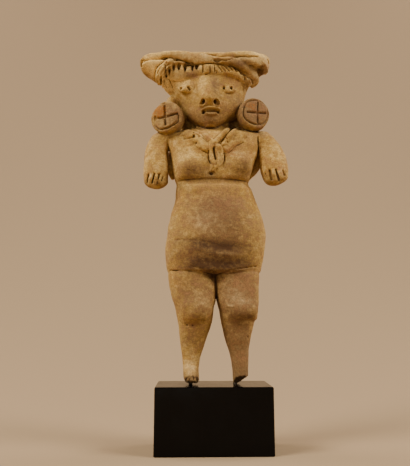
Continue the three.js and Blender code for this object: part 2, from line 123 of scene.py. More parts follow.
RIGHT_LEG = [
    (SOLE - 0.4, 8.3, 13.6, -4, 2.6), (27.6, 7.9, 14.3, -4.2, 3), (30.4, 7.7, 14.2, -3.9, 3.2),
    (37, 6.8, 14.3, -3.9, 4), (42.5, 5.3, 15.1, -5, 5.2), (47.5, 4, 16.6, -6.2, 6.2, 2.4),
    (49.5, 3.6, 17.2, -7.4, 6.6, 2.5), (50.7, 3.3, 18, -8.5, 6.8, 2.6),
    (54, 2.8, 18.3, -9, 7.6, 2.7), (57.6, 1.9, 18.5, -8.7, 8.2, 3.2),
    (62, 1.2, 18.7, -8.4, 8.8, 3.2), (67.8, 0.8, 19.2, -8.3, 9.4, 2.8), (71.4, 0.8, 19, -7, 8.6),
]
LEFT_ARM = [
    (104.5, -24.9, -21.7, -4.6, -1.2), (105.2, -26.9, -20.4, -6.6, 0.4),
    (107.3, -28.5, -18.9, -7.4, 1.8), (113.4, -28.9, -18.6, -7.2, 3.2),
    (119.4, -28.7, -19, -6.4, 4.4), (124.1, -27.6, -18.4, -5.8, 5), (127.6, -26, -17, -5, 4.8),
    (129.4, -23.6, -18, -3, 3.2),
]
RIGHT_ARM = [
    (106.1, 24.2, 27.2, -4.6, -1.2), (106.9, 22.6, 29, -6.6, 0.4), (109.2, 21.2, 31.5, -7.4, 1.8),
    (114, 20.3, 31.9, -7.2, 3), (118.5, 19.8, 31.3, -6.6, 4.2), (122.5, 19.4, 29.8, -6, 5),
    (127, 17.6, 27, -5.4, 5), (129.8, 18.6, 24, -3, 3.2),
]
NECK = [(125, -7.6, 8, -5, 6), (138, -6.6, 7, -3.4, 6)]
HEAD = [
    (130.6, -3.6, 1.4, -7.2, 1, 2.1), (132.2, -6, 3.9, -8.8, 3, 2.1),
    (135, -9, 7.4, -9.6, 5.5, 2.2), (137.4, -11.4, 10.8, -9.9, 7.4, 2.2),
    (140.1, -13.4, 13, -10, 8.6), (143.3, -15.5, 13.8, -10, 9.2), (146.8, -17.8, 14.6, -10, 9.8),
    (150, -19.6, 15.7, -10, 10.2), (154, -20.2, 17.2, -10, 10.4), (158, -19, 17, -9.6, 10.2),
]
NAPE = [
    (123, -8, 10, 4, 8.6), (129, -13, 14.6, 2.6, 9.2), (138, -14.4, 14.6, 2.4, 9.6),
    (148, -17, 14.2, 2, 11.4), (156, -18.6, 17.4, 2, 12),
]
CAP = [
    (155.6, -20, 17, -7.6, 10), (158.4, -25, 20.6, -9.4, 11.4), (161, -28.6, 24.2, -10, 12),
    (162.4, -28.4, 24, -9.4, 11.4), (163.8, -24, 21, -7.2, 9.2), (164.6, -16, 13, -3.6, 5.4),
]
LEFT_FOLD = [
    (149, -21.8, -20.8, -5, -3), (150.4, -22.6, -20.8, -6.4, -1.4),
    (151.6, -23.6, -20.8, -7.6, 0.4), (153, -25, -20.6, -9, 2.2), (154.8, -26.9, -20, -10.2, 4.2),
    (156.4, -28.8, -18.6, -11.2, 5.8), (157.4, -30.3, -16.8, -11.4, 6.8),
    (158.1, -31, -16.4, -10.8, 6.6), (158.8, -31, -16.6, -9, 6.4), (160.2, -31, -17, -7.2, 6),
    (162.2, -29.6, -18.4, -6, 5),
]
RIGHT_LOBE = [
    (155, 17, 20.6, -5, -1), (156.6, 14, 22.6, -7, 1.4), (158.8, 12, 24.4, -8.6, 4),
    (161, 11, 25.3, -9.4, 6.4), (162.8, 12, 25.2, -8.4, 6), (164, 14, 23, -6.2, 4.6),
]
NOSE = [
    (137.4, -4.2, 1.2, -10.2, -7, 1.9), (138.2, -5.4, 2.6, -11.2, -7, 1.7),
    (139.4, -5.3, 2.3, -12.2, -7.6, 1.5), (140.6, -5.4, 2, -13.2, -7.6, 1.35),
    (142.2, -5.8, 1.9, -13.3, -7.4, 1.3), (146, -5.8, 1.7, -12.4, -8.4, 1.3),
    (150.4, -5.6, 1.2, -11, -8.8, 1.4), (153.2, -5, 0.6, -10, -9.4, 1.6),
]


class Clay:
    """A distance field over the figure: negative inside the clay, in millimetres."""

    def __init__(self, low, high):
        self.axes = [np.arange(a, b, STEP, dtype=np.float32) for a, b in zip(low, high)]
        self.low = np.array(low, np.float32)
        self.field = np.full([len(a) for a in self.axes], MARGIN, np.float32)

    def near(self, low, high):
        """The part of the grid around a box, as slices and as its three open axes."""
        cut = tuple(
            slice(*np.searchsorted(axis, (a - MARGIN, b + MARGIN)))
            for axis, a, b in zip(self.axes, low, high)
        )
        x, y, z = (axis[part] for axis, part in zip(self.axes, cut))
        return cut, x[:, None, None], y[None, :, None], z[None, None, :]

    def add(self, cut, shape, blend, sign=1):
        """Joins a shape on, or with sign -1 cuts it out, rounding the corner over the blend's
        length. The blend fades out where the box around the shape ends."""
        field, shape = sign * self.field[cut], np.asarray(shape, np.float32)
        overlap = np.maximum(blend - np.abs(field - shape), 0) / blend
        fading = np.clip(2 - 2 * np.abs(shape) / MARGIN, 0, 1)
        joined = np.minimum(field, shape) - fading * overlap * overlap * blend / 4
        self.field[cut] = sign * joined


def eased(table, heights):
    """The measures of a body at each height, eased from level to level without swinging past."""
    gap = np.diff(table[:, 0])
    rise = np.diff(table[:, 1:], axis=0) / gap[:, None]
    slope = np.concatenate([rise[:1], np.zeros_like(rise[1:]), rise[-1:]])
    product, total = rise[:-1] * rise[1:], rise[:-1] + rise[1:]
    together = product > 0
    slope[1:-1][together] = 2 * product[together] / total[together]
    i = np.clip(np.searchsorted(table[:, 0], heights, "right") - 1, 0, len(gap) - 1)
    t = np.clip((heights - table[i, 0]) / gap[i], 0, 1)[:, None]
    a, b, h = table[i, 1:], table[i + 1, 1:], gap[i][:, None]
    lift = (3 - 2 * t) * t * t
    bend = (1 - t) ** 2 * t * slope[i] - (1 - t) * t * t * slope[i + 1]
    return (a + (b - a) * lift + h * bend).astype(np.float32).T


def body(clay, levels, blend):
    """Adds a body through its levels, with rounded-square sections."""
    table = np.array([(*level, SQUARENESS)[:6] for level in levels], np.float64)
    low = (table[:, 1].min(), table[:, 3].min(), table[0, 0])
    high = (table[:, 2].max(), table[:, 4].max(), table[-1, 0])
    cut, x, y, z = clay.near(low, high)
    left, right, front, back, power = eased(table, z.ravel())
    half, deep = (right - left) / 2, (back - front) / 2
    u = np.abs(x - (left + right) / 2) / half + TINY
    v = np.abs(y - (front + back) / 2) / deep + TINY
    reach = u**power + v**power
    steepness = np.sqrt((u ** (power - 1) / half) ** 2 + (v ** (power - 1) / deep) ** 2)
    shape = (reach - reach ** ((power - 1) / power)) / steepness
    shape = np.maximum(shape, np.maximum(low[2] - z, z - high[2]))
    clay.add(cut, shape, blend)


def smooth_path(stops, pieces):
    """A curve through the stops, as rows of the same columns."""
    stops = np.array(stops, float)
    ends = np.concatenate([2 * stops[:1] - stops[1:2], stops, 2 * stops[-1:] - stops[-2:-1]])
    rows = []
    for k in range(len(stops) - 1):
        a, b, c, d = ends[k : k + 4]
        square, cube = 2 * a - 5 * b + 4 * c - d, 3 * b - a - 3 * c + d
        for t in np.arange(pieces) / pieces:
            rows.append(0.5 * (2 * b + (c - a) * t + square * t**2 + cube * t**3))
    return np.array(rows + [stops[-1]])


def band_shape(clay, stops, outward, pieces):
    """The distance to a band along stops of (x, y, z, half width, half thickness)."""
    path = smooth_path(stops, pieces)
    reach = path[:, 3:].max()
    cut, x, y, z = clay.near(path[:, :3].min(0) - reach, path[:, :3].max(0) + reach)
    shape = np.full(np.broadcast_shapes(x.shape, y.shape, z.shape), FAR, np.float32)
    for start, end in zip(path[:-1], path[1:]):
        a, step = start[:3], end[:3] - start[:3]
        length = np.linalg.norm(step)
        along = step / length
        across = np.cross(along, outward(*(a + step / 2)))
        across /= np.linalg.norm(across)
        out = np.cross(across, along)
        dx, dy, dz = x - a[0], y - a[1], z - a[2]
        s = dx * along[0] + dy * along[1] + dz * along[2]
        t = np.clip(s / length, 0, 1)
        wide = start[3] + (end[3] - start[3]) * t
        thick = start[4] + (end[4] - start[4]) * t
        round_end = np.minimum(wide, thick)
        past = (s - t * length) / round_end
        p = (dx * across[0] + dy * across[1] + dz * across[2]) / wide
        q = (dx * out[0] + dy * out[1] + dz * out[2]) / thick
        r = np.sqrt(p * p + q * q + past * past) + TINY
        steep = np.sqrt((p / wide) ** 2 + (q / thick) ** 2 + (past / round_end) ** 2) / r + TINY
        np.minimum(shape, (r - 1) / steep, out=shape)
    return cut, shape


def forward(*_):
    return (0, -1, 0)


def backward(*_):
    return (0, 1, 0)


def from_head(x, y, _):
    return (x - MIDLINE, 4 * y, 0)


def band(clay, stops, outward=forward, blend=0.8):
    clay.add(*band_shape(clay, stops, outward, 5), blend)


def slot(clay, stops, outward=forward, blend=0.3):
    clay.add(*band_shape(clay, stops, outward, 4), blend, -1)


def pellet(clay, place, halves, blend, sign=1):
    """Presses on a pellet of clay, or with sign -1 dents the clay with a round tool."""
    place, halves = np.array(place), np.array(halves)
    cut, x, y, z = clay.near(place - halves, place + halves)
    p, q, r = (x - place[0]) / halves[0], (y - place[1]) / halves[1], (z - place[2]) / halves[2]
    reach = np.sqrt(p * p + q * q + r * r) + TINY
    a, b, c = halves
    steep = np.sqrt((p / a) ** 2 + (q / b) ** 2 + (r / c) ** 2) / reach + TINY
    clay.add(cut, (reach - 1) / steep, blend, sign)


def surface_of(clay, x, z, side=1):
    """The y of the clay's front at a place, or of its back with side -1."""
    i = int(round((x - clay.low[0]) / STEP))
    k = int(round((z - clay.low[2]) / STEP))
    column, axis = clay.field[i, ::side, k], clay.axes[1][::side]
    j = int(np.argmax(column < 0))
    a, b = column[j - 1], column[j]
    return float(axis[j - 1] + side * STEP * a / (a - b))


# The mesh over the field
def skin(clay):
    """One vertex in each cell that the surface crosses, and a quad over each crossing edge."""
    field, inside = clay.field, clay.field < 0
    corners = np.array(list(np.ndindex(2, 2, 2)))
    n = np.array(field.shape) - 1
    count = sum(inside[tuple(map(slice, c, c + n))].astype(np.uint8) for c in corners)
    cells = np.argwhere((count > 0) & (count < 8))
    number = np.full(n, -1, np.int32)
    number[tuple(cells.T)] = np.arange(len(cells))
    values = np.stack([field[tuple((cells + c).T)] for c in corners], 1)
    total, hits = np.zeros((len(cells), 3)), np.zeros(len(cells))
    for p, q in np.ndindex(8, 8):
        way = corners[q] - corners[p]
        if q < p or np.abs(way).sum() != 1:
            continue
        a, b = values[:, p], values[:, q]
        crossing = (a < 0) != (b < 0)
        t = np.where(crossing, a / np.where(crossing, a - b, 1), 0)
        total += (corners[p] + t[:, None] * way) * crossing[:, None]
        hits += crossing
    points = clay.low + STEP * (cells + total / hits[:, None])
    quads = []
    for axis in range(3):
        edges = np.argwhere(np.diff(inside, axis=axis))
        u, v = np.roll(np.eye(3, dtype=int), -axis, 0)[1:]
        edges = edges[np.all((edges - u - v >= 0) & (edges < n), axis=1)]
        ring = [edges - u - v, edges - v, edges, edges - u]
        faces = np.stack([number[tuple(r.T)] for r in ring], 1)
        outward_is_up = inside[tuple(edges.T)]
        faces[~outward_is_up] = faces[~outward_is_up, ::-1]
        quads.append(faces)
    return points, np.concatenate(quads)


# The ear spools: their size, then the back's centre and the turn of the face from straight ahead
SPOOL_RADIUS, SPOOL_DEPTH, SPOOL_RIM = 6.9, 5.6, 1.1
LEFT_SPOOL = ((-18.2, -2.6, 134.2), -0.37)
RIGHT_SPOOL = ((16.3, -1.9, 136.6), 0.33)


def facing(turn):
    """The way that a spool's face looks."""
    return np.array([math.sin(turn), -math.cos(turn), 0])


def on_face(spool, a, b):
    """A place on a spool's face, a to the right and b up from its middle."""
    back, turn = spool
    right, up = np.array([math.cos(turn), math.sin(turn), 0]), np.array([0, 0, 1])
    return np.array(back) + SPOOL_DEPTH * facing(turn) + a * right + b * up


def disc(clay, spool):
    """Adds an ear spool, a thick disc with a rounded rim."""
    back, turn = spool
    back, axis = np.array(back), facing(turn)
    cut, x, y, z = clay.near(back - SPOOL_RADIUS - 2, back + SPOOL_RADIUS + 2)
    dx, dy, dz = x - back[0], y - back[1], z - back[2]
    along = dx * axis[0] + dy * axis[1]
    side = dx * axis[1] - dy * axis[0]
    radial = np.sqrt(side * side + dz * dz) - (SPOOL_RADIUS - SPOOL_RIM)
    depth = np.abs(along - SPOOL_DEPTH / 2) - (SPOOL_DEPTH / 2 - SPOOL_RIM)
    outside = np.sqrt(np.maximum(radial, 0) ** 2 + np.maximum(depth, 0) ** 2)
    shape = outside + np.minimum(np.maximum(radial, depth), 0) - SPOOL_RIM
    clay.add(cut, shape, 0.5)


def face_line(clay, spool, line, width):
    """Draws a tool along places on a spool's face."""
    stops = [(*on_face(spool, a, b), width / 2, LINE_DEPTH) for a, b in line]
    slot(clay, stops, lambda *_: facing(spool[1]))


def engrave(clay, line, width, depth, blend):
    """Draws a tool along places (x, z) of the front."""
    slot(clay, [(x, surface_of(clay, x, z), z, width / 2, depth) for x, z in line], forward, blend)


def draw(clay, strokes, blend):
    """Engraves a table of strokes, each its places, width and depth."""
    for line, width, depth in strokes:
        engrave(clay, line, width, depth, blend)


def lay(clay, line, half, height, blend=0.5):
    """Lays a thin coil along places (x, z) of the front."""
    band(clay, [(x, surface_of(clay, x, z), z, half, height) for x, z in line], forward, blend)


def jab(clay, x, z, wide, high, deep, blend=0.25):
    """A hole made by a tool's end in the front."""
    pellet(clay, (x, surface_of(clay, x, z), z), (wide, deep, high), blend, -1)


# A dent is worked out to so many reaches, between these depths of the figure
DENT_SPREAD, DENT_FRONT, DENT_BACK = 2.4, -16, 1


def dent(clay, stops):
    """Presses soft troughs in the front along (x, z, reach, depth). A negative depth swells."""
    path = smooth_path(stops, 4)
    far = DENT_SPREAD * path[:, 2].max() - MARGIN
    low, high = path[:, :2].min(0) - far, path[:, :2].max(0) + far
    cut, x, y, z = clay.near((low[0], DENT_FRONT, low[1]), (high[0], DENT_BACK, high[1]))
    depth = np.zeros((x.size, 1, z.size), np.float32)
    for start, end in zip(path[:-1], path[1:]):
        step = end[:2] - start[:2]
        t = np.clip(((x - start[0]) * step[0] + (z - start[1]) * step[1]) / (step @ step), 0, 1)
        away = (x - start[0] - t * step[0]) ** 2 + (z - start[1] - t * step[1]) ** 2
        reach, deep = (start[k] + (end[k] - start[k]) * t for k in (2, 3))
        here = deep * np.exp(-away / reach**2)
        depth = np.where(np.abs(here) > np.abs(depth), here, depth)
    clay.field[cut] += depth * np.clip(-y / 2, 0, 1)


def press_on(clay, x, z, wide, high, deep, sunk, blend):
    """A pellet of clay pressed on the front."""
    pellet(clay, (x, surface_of(clay, x, z) + sunk, z), (wide, deep, high), blend)


def legs_and_body(clay):
    body(clay, TORSO, 1)
    body(clay, LEFT_LEG, 0.8)
    body(clay, RIGHT_LEG, 0.2)
    for side in (-1, 1):
        pellet(clay, (MIDLINE + side * 8.2, 4.6, 76), (10, 7.9, 12), 2)
    dent(clay, [(1, 93, 9, -0.35), (2, 88, 10, -0.35)])
    dent(clay, [(-7, 107, 1, -0.2), (0, 106.8, 1.3, -0.5), (6, 106.9, 1, -0.2)])
    pellet(clay, (-7, -6.4, 54), (6.2, 3, 4.6), 1.6)
    pellet(clay, (11, -6.6, 54.4), (6.4, 2.9, 4.2), 1.4)


GROIN_LINES = [
    ([(-17.6, 69.9), (-13.1, 69.4), (-9.1, 69.3), (-5.2, 69.1), (-2.6, 68.6), (0.1, 68)], 0.4, 0.5),
    ([(0.6, 68), (3.6, 68.6), (7.2, 69.4), (10.8, 70.2), (15, 71), (17.6, 71.5)], 0.4, 0.55),
    ([(-8.6, 71), (-5.9, 70.1), (-3.1, 69.2)], 0.3, 0.2),
]

# The soft dents over the groin and at the knees, along stops of (x, z, reach, depth)
DENTS = [
    [(-8.6, 75, 1.6, 0.15), (-3.6, 73.4, 2.4, 0.4), (3.5, 72.2, 2.5, 0.5), (9, 72.8, 2.3, 0.4),
     (13.4, 74.4, 1.6, 0.2)],
    [(-6, 77.6, 1.2, -0.15), (3, 76, 1.2, -0.25), (11, 75.8, 1.2, -0.15)],
    [(-10.2, 48.6, 1.3, 0.3), (-7.4, 48.4, 1.4, 0.4), (-4.6, 49.6, 1.2, 0.3)],
    [(5.6, 50.4, 0.8, 0.3), (10.4, 50.4, 1.1, 0.5), (14.2, 50.2, 1.2, 0.5), (16.6, 49.6, 0.9, 0.5)],
    [(5.4, 53, 1.6, 0.35), (8, 52, 1.2, 0.2)],
    [(-12, 53.6, 1.8, 0.2), (-12.4, 50, 1.4, 0.2)],
]


def groin_and_knees(clay):
    draw(clay, GROIN_LINES, 0.25)
    slot(clay, [
        (-0.9, -8.8, 68.2, 1.4, 1.4), (-0.3, -7.8, 66.8, 1.3, 2), (0.6, -6.4, 64.8, 0.5, 1.6),
        (0.9, -6, 62.4, 0.25, 1.4), (1.4, -6, 58, 0.2, 1.4)
    ], forward, 0.2)
    dent(clay, [
        (-15.4, 81.6, 1, 0.15), (-7.8, 81.4, 1.8, 0.35), (-0.4, 79.6, 2.4, 0.5),
        (7.1, 78.4, 2.5, 0.5), (12.4, 78.6, 2, 0.25)
    ])
    engrave(clay, [(-16.4, 81.8), (-12, 81.7), (-7.6, 81.4), (-4, 80.8)], 0.3, 0.2, 0.2)
    for stops in DENTS:
        dent(clay, stops)
    jab(clay, -10.6, 48, 0.7, 0.5, 0.5)
    jab(clay, -8.2, 47.8, 0.5, 0.5, 0.45)
    jab(clay, 13.9, 43.4, 0.5, 0.6, 0.4)
    lay(clay, [(4.9, 57.6), (5.6, 55.6), (7.4, 55)], 0.4, 0.3)


# The broken foot's two faces: a place on each, and the way up out of the break
BREAK = [((9, -4, 28.1), (-0.06, 0.6, 0.8)), ((10.4, 0, 25.7), (-0.58, 0.1, 0.81))]
BREAK_TOP = 31  # no stain of the break above this height


def break_distance(x, y, z):
    """How far a place stands above the broken foot's rough faces."""
    rough = 0.22 * np.sin(2.6 * x + 1.3 * y) * np.cos(3.1 * y - 1.7 * x)
    rough = rough + 0.1 * np.sin(6.1 * x - 4.3 * y)
    faces = [
        (x - place[0]) * up[0] + (y - place[1]) * up[1] + (z - place[2]) * up[2] - rough
        for place, up in BREAK
    ]
    return np.minimum(*faces)


# The grooves between the toes: (x, top, bottom, width)
TOES = [
    (-10.4, 27.9, 26.3, 0.5), (-9.2, 28, 26.1, 0.45), (-7.8, 28.1, 26.1, 0.6),
    (-6.6, 27.8, 26.2, 0.5),
]


def feet(clay):
    for x, top, bottom, width in TOES:
        engrave(clay, [(x, top), (x + 0.12 * (x + 8.4), bottom)], width, 0.4, 0.3)
    cut, x, y, z = clay.near((6, -7, 22), (17, 6, 33))
    clay.add(cut, break_distance(x, y, z), 0.2, -1)


# The thin coils laid along the fingers, with their half width, and the grooves between the
# fingers, with their width
FINGERS = [
    ([(-25.6, 108), (-26.1, 105.6)], 0.5),
    ([(-23.3, 108), (-24.1, 105.2)], 0.5),
    ([(24.9, 110.4), (25.9, 107.2)], 0.55),
    ([(27.4, 110.6), (28.5, 108)], 0.55),
]
FINGER_GROOVES = [
    ([(-26.6, 109.2), (-27.2, 105.9)], 0.9),
    ([(-24.2, 109.4), (-25.1, 105.6)], 1.1),
    ([(-22.3, 109.2), (-23.4, 105.1)], 1),
    ([(-20.8, 108.4), (-21.4, 106.4)], 0.6),
    ([(21.9, 110.8), (22.5, 108.4)], 0.6),
    ([(23.6, 111.4), (24.5, 107.6)], 1.2),
    ([(26.1, 111.7), (27.6, 107.2)], 1.1),
    ([(29, 111.6), (29.7, 109.4)], 0.8),
]


def arms(clay):
    body(clay, LEFT_ARM, 0.9)
    body(clay, RIGHT_ARM, 0.9)
    slot(clay, [
        (-19.1, -6, 124.8, 0.3, 0.6), (-18.7, -6, 122, 0.5, 3), (-18.1, -4, 116, 0.8, 5),
        (-17.6, -4, 110, 1.3, 6), (-17.2, -4, 106, 1.6, 6)
    ])
    slot(clay, [
        (18.9, -6, 127.2, 0.45, 1.6), (19.1, -6, 124, 0.6, 3.4), (19.5, -4, 118, 0.9, 5),
        (19.2, -4, 112, 1.5, 6), (18.2, -4, 107, 2, 6)
    ])
    for line, width in FINGER_GROOVES:
        engrave(clay, line, width, 1, 0.4)
    for line, half in FINGERS:
        lay(clay, line, half, 0.4)


# The hair: the tresses' sides and their stops of (x, z, half width, half thickness), how far
# back they lie, the grooves on the nape, and a groove's half width and depth
TRESSES = [
    (-1, [(-8, 132, 3.6, 2.6), (-13, 126, 3.4, 2.6), (-17.6, 120, 2.3, 1.8),
          (-17.8, 115, 1.7, 1.4), (-17.1, 111.6, 0.95, 1)]),
    (1, [(10, 132, 3.6, 2.6), (15, 126, 3.4, 2.6), (19.8, 120, 1.9, 1.8),
         (19.2, 115.6, 1.3, 1.3), (16.9, 112.2, 0.6, 0.9), (15, 109.8, 0.4, 0.6)]),
]
TRESS_Y = 6.4
NAPE_GROOVES, NAPE_HALF_WIDTH = 13, 13
COMBED = (0.35, 0.6)


def head_and_hair(clay):
    body(clay, NECK, 1.6)
    body(clay, HEAD, 0.7)
    body(clay, NAPE, 2)
    for side, stops in TRESSES:
        band(clay, [(x, TRESS_Y, z, wide, thick) for x, z, wide, thick in stops], backward)
        pellet(clay, (MIDLINE + side * 15.6, 0.6, 138.4), (3.6, 3.6, 5.2), 1.6)
        for shift in (-0.25, 0.4):
            slot(clay, [(x + shift * w, TRESS_Y + t, z, *COMBED) for x, z, w, t in stops], backward)
    pellet(clay, (-17.2, -2.6, 142.6), (2.6, 2.6, 2.6), 2.2)
    half = NAPE_GROOVES // 2
    for k in range(-half, half + 1):
        across = NAPE_HALF_WIDTH * k / half
        line = [
            (MIDLINE + across * (0.8 + 0.2 * t * t), 128 + 26 * t)
            for t in (0, 0.2, 0.4, 0.6, 0.8, 1)
        ]
        slot(clay, [(x, surface_of(clay, x, z, -1), z, *COMBED) for x, z in line], backward, 0.4)
    for side in (-1, 1):
        pellet(clay, (-1.4 + side * 3.1, -10.3, 138.9), (1.3, 1.5, 1.4), 0.5)
    body(clay, NOSE, 1.2)


# The turban's strands, in the order of laying: each one's blend, and its stops of
# (x, y, z, half width, half thickness)
TURBAN_STRANDS = [
    (0.8, [(-26, 3, 159.6, 3, 3), (-20, 8.4, 159.2, 4, 3.6), (-8, 12, 158.8, 4.6, 3.8),
           (6, 12, 159.2, 4.6, 3.8), (16, 8.4, 160.4, 3.8, 3.4), (21.4, 3, 161.2, 2.6, 2.6)]),
    (0.5, [(3, -9, 160.6, 1, 1.2), (6.4, -9.4, 161, 1.6, 1.5), (10.6, -9.4, 161.2, 1.9, 1.7),
           (15.4, -9.6, 160.7, 2.2, 2), (19.6, -8.4, 160, 2.5, 2.3), (22.4, -4.8, 160, 2.4, 2.2),
           (23.4, 1.6, 160.2, 2.2, 1.6)]),
    (0.35, [(-29.6, -2.4, 160.6, 1, 1.1), (-28.9, -5.8, 160.4, 1.4, 1.5),
            (-26.5, -8.2, 160.2, 1.7, 1.7), (-23.4, -9.2, 160.2, 1.7, 1.8),
            (-20.8, -9.8, 160.6, 1.6, 1.7), (-18.2, -10, 160.8, 1.5, 1.6),
            (-15.8, -10.3, 160.7, 1.5, 1.4), (-13.4, -10.6, 160.2, 1.7, 1.4),
            (-11, -10.8, 159.5, 2.2, 1.5), (-7.5, -11.1, 158.7, 2.5, 1.5),
            (-4.4, -11.2, 158.4, 2.3, 1.5), (-1.2, -11, 158.2, 1.8, 1.4),
            (1.3, -10.9, 157.9, 1.2, 1.2), (3.9, -11.1, 157.9, 1.4, 1.2),
            (7.3, -10.8, 158.1, 1.6, 1.3), (10.7, -10.2, 157.4, 2, 1.3),
            (14.1, -8.9, 156.4, 2.3, 1.3), (17.2, -6.6, 154.9, 2.3, 1.3),
            (18.9, -4.2, 152.9, 1.6, 1.5), (18.3, -3, 151.4, 1, 1.2),
            (17.1, -2.3, 150.4, 0.6, 0.9)]),
    (0.4, [(11.2, -10.4, 159.2, 0.8, 0.8), (13.7, -10.5, 158.8, 1.3, 1.1),
           (15.4, -10.3, 158.4, 1.7, 1.2), (17.2, -9.9, 158.1, 1.8, 1.3),
           (19.2, -9.3, 158, 1.8, 1.4), (21.1, -8.2, 158.2, 1.5, 1.4),
           (22.6, -6.6, 158.1, 1.2, 1.2), (23.4, -4.6, 157.6, 1, 1), (23.6, -3, 157.2, 0.8, 0.9)]),
    (0.3, [(-16.4, -9.2, 158.6, 0.7, 0.9), (-17.6, -9.9, 158, 1.3, 1.1),
           (-19.2, -10.3, 156.9, 1.7, 1.2), (-20.8, -10.4, 155.4, 1.8, 1.2),
           (-22.1, -10.2, 153.8, 1.7, 1.2), (-23.2, -9.4, 152, 1.4, 1.1),
           (-23.5, -7.6, 150.4, 0.9, 1), (-22.8, -5.8, 149.4, 0.6, 0.8)]),
    (0.2, [(-28.6, -7, 160.4, 1, 1.2), (-30, -6, 159.8, 0.7, 1.2), (-30.4, -5, 158.6, 0.6, 1.2),
           (-29.9, -4.6, 157.4, 0.5, 1)]),
]


def turban(clay):
    body(clay, CAP, 0.6)
    body(clay, LEFT_FOLD, 0.5)
    body(clay, RIGHT_LOBE, 0.5)
    for blend, stops in TURBAN_STRANDS:
        band(clay, stops, from_head, blend)


# The fringe: where its lower and upper edges lie, as (x, low, high)
FRINGE = [
    (-19, 151.4, 155.8), (-17, 150.5, 157.2), (-14, 150, 157.8), (-11, 150.3, 157.6),
    (-8, 151.2, 157.2), (-5, 151.7, 156.8), (-2, 152, 156.6), (1, 152.1, 156.6), (4, 152, 156.8),
    (7, 151.8, 157.2), (10, 151.2, 157.2), (12.6, 150.6, 156), (14.6, 149.8, 154.2),
]


def fringe(clay):
    stops = []
    for x, low, high in FRINGE:
        forth = 1.5 * math.exp(-(((x + 16.5) / 4) ** 2)) + 1.1 * math.exp(-(((x - 11) / 4) ** 2))
        y = surface_of(clay, x, 150.4) + 0.4 - forth
        stops.append((x, y, (low + high) / 2, (high - low) / 2, 1.5))
    band(clay, stops, from_head, 0.45)
    band(clay, [
        (-18.1, -8.4, 155.8, 0.45, 1), (-16.7, -9.3, 156.7, 0.45, 1.1),
        (-15.3, -9.8, 157.1, 0.45, 1.1), (-13.8, -10, 157.1, 0.45, 1.1),
        (-12, -10.1, 156.7, 0.45, 1)
    ], from_head, 0.3)
    band(clay, [
        (-18.4, -6.2, 154.8, 1.4, 1.2), (-19.6, -5, 151.8, 2.2, 1.7), (-19.6, -3.8, 149, 1.8, 1.4),
        (-18.4, -3.2, 146.8, 0.8, 0.8)
    ], from_head, 1.3)
    pellet(clay, (17.2, -3.2, 152), (1.6, 2.2, 1.9), 0.6)
    band(clay, [
        (14.2, -7.6, 154, 1.4, 1.2), (15.6, -6.6, 152.2, 1.8, 1.5), (15.9, -5.6, 150.6, 1.5, 1.3),
        (15.4, -5.4, 149.4, 0.8, 0.8)
    ], from_head, 0.5)


def pit(clay, x, top, bottom, wide):
    """A pressed notch, wide above and pointed below."""
    y = surface_of(clay, x, bottom + 0.3)
    stops = [
        (x, y, top, wide, NOTCH_DEPTH),
        (x, y, (top + bottom) / 2, 0.75 * wide, 0.8 * NOTCH_DEPTH),
        (x, y, bottom, 0.25 * wide, 0.6 * NOTCH_DEPTH),
    ]
    slot(clay, stops, forward, 0.12)


# The notches in the fringe: their depth, then (x, top, bottom, half width)
NOTCH_DEPTH = 2.4
NOTCHES = [
    (-20.1, 155.2, 154.1, 0.5), (-18.5, 155.3, 153.1, 0.55), (-19.8, 153.3, 152, 0.55),
    (-16.6, 156.2, 154.2, 0.6), (-14.4, 156.2, 154, 0.8), (-11.8, 155.7, 153.2, 0.8),
    (-8.7, 155.9, 153.4, 0.75), (-6.9, 155.5, 153.7, 0.85),
]
FRINGE_LINES = [
    ([(-4.3, 155.4), (-4.3, 152.4)], 0.65, 1),
    ([(-3, 154.9), (-3, 153.8)], 0.4, 0.5),
    ([(-1.4, 154.9), (-1.3, 151.9)], 0.55, 0.7),
    ([(-3.4, 151.6), (-2, 151.9)], 0.5, 0.6),
    ([(0.5, 155.2), (0.5, 152.6)], 0.5, 0.8),
    ([(1.4, 153), (1.5, 152.4)], 0.5, 0.7),
    ([(2, 155.4), (3, 154.2), (3.9, 153)], 0.6, 1),
    ([(3.5, 155.4), (4.4, 154.4), (5.2, 153.5)], 0.6, 1),
    ([(5, 155.6), (6, 154.5), (6.9, 153.5)], 0.7, 1.1),
    ([(6.6, 155.6), (7.5, 154.6), (8.4, 153.8)], 0.7, 1.1),
    ([(8.2, 155.6), (9.2, 154.5), (10, 153.7)], 0.7, 1.1),
    ([(10, 155.2), (11.2, 154.1), (12.2, 153)], 0.95, 1.2),
    ([(12.6, 153.4), (13.3, 152.4), (13.9, 151.4)], 0.6, 0.8),
    ([(14.2, 153.8), (14.8, 152.7), (15, 151.8)], 0.95, 1.3),
    ([(15.9, 153.2), (16.3, 152.2), (16.4, 151.4)], 0.7, 0.9),
    ([(16.9, 152.6), (17.3, 151.6), (17, 150.6)], 0.6, 0.7),
    ([(15.3, 151.2), (15.6, 150.2)], 0.5, 0.6),
    ([(-20.8, 151.3), (-20.3, 149.5), (-19.6, 148.2)], 0.5, 0.7),
    ([(-18.7, 151.2), (-17.8, 149.9), (-17.2, 148.4)], 0.5, 0.6),
]


def fringe_cuts(clay):
    for notch in NOTCHES:
        pit(clay, *notch)
    jab(clay, -10.3, 156.1, 1.3, 0.5, 1.8, 0.12)
    draw(clay, FRINGE_LINES, 0.15)


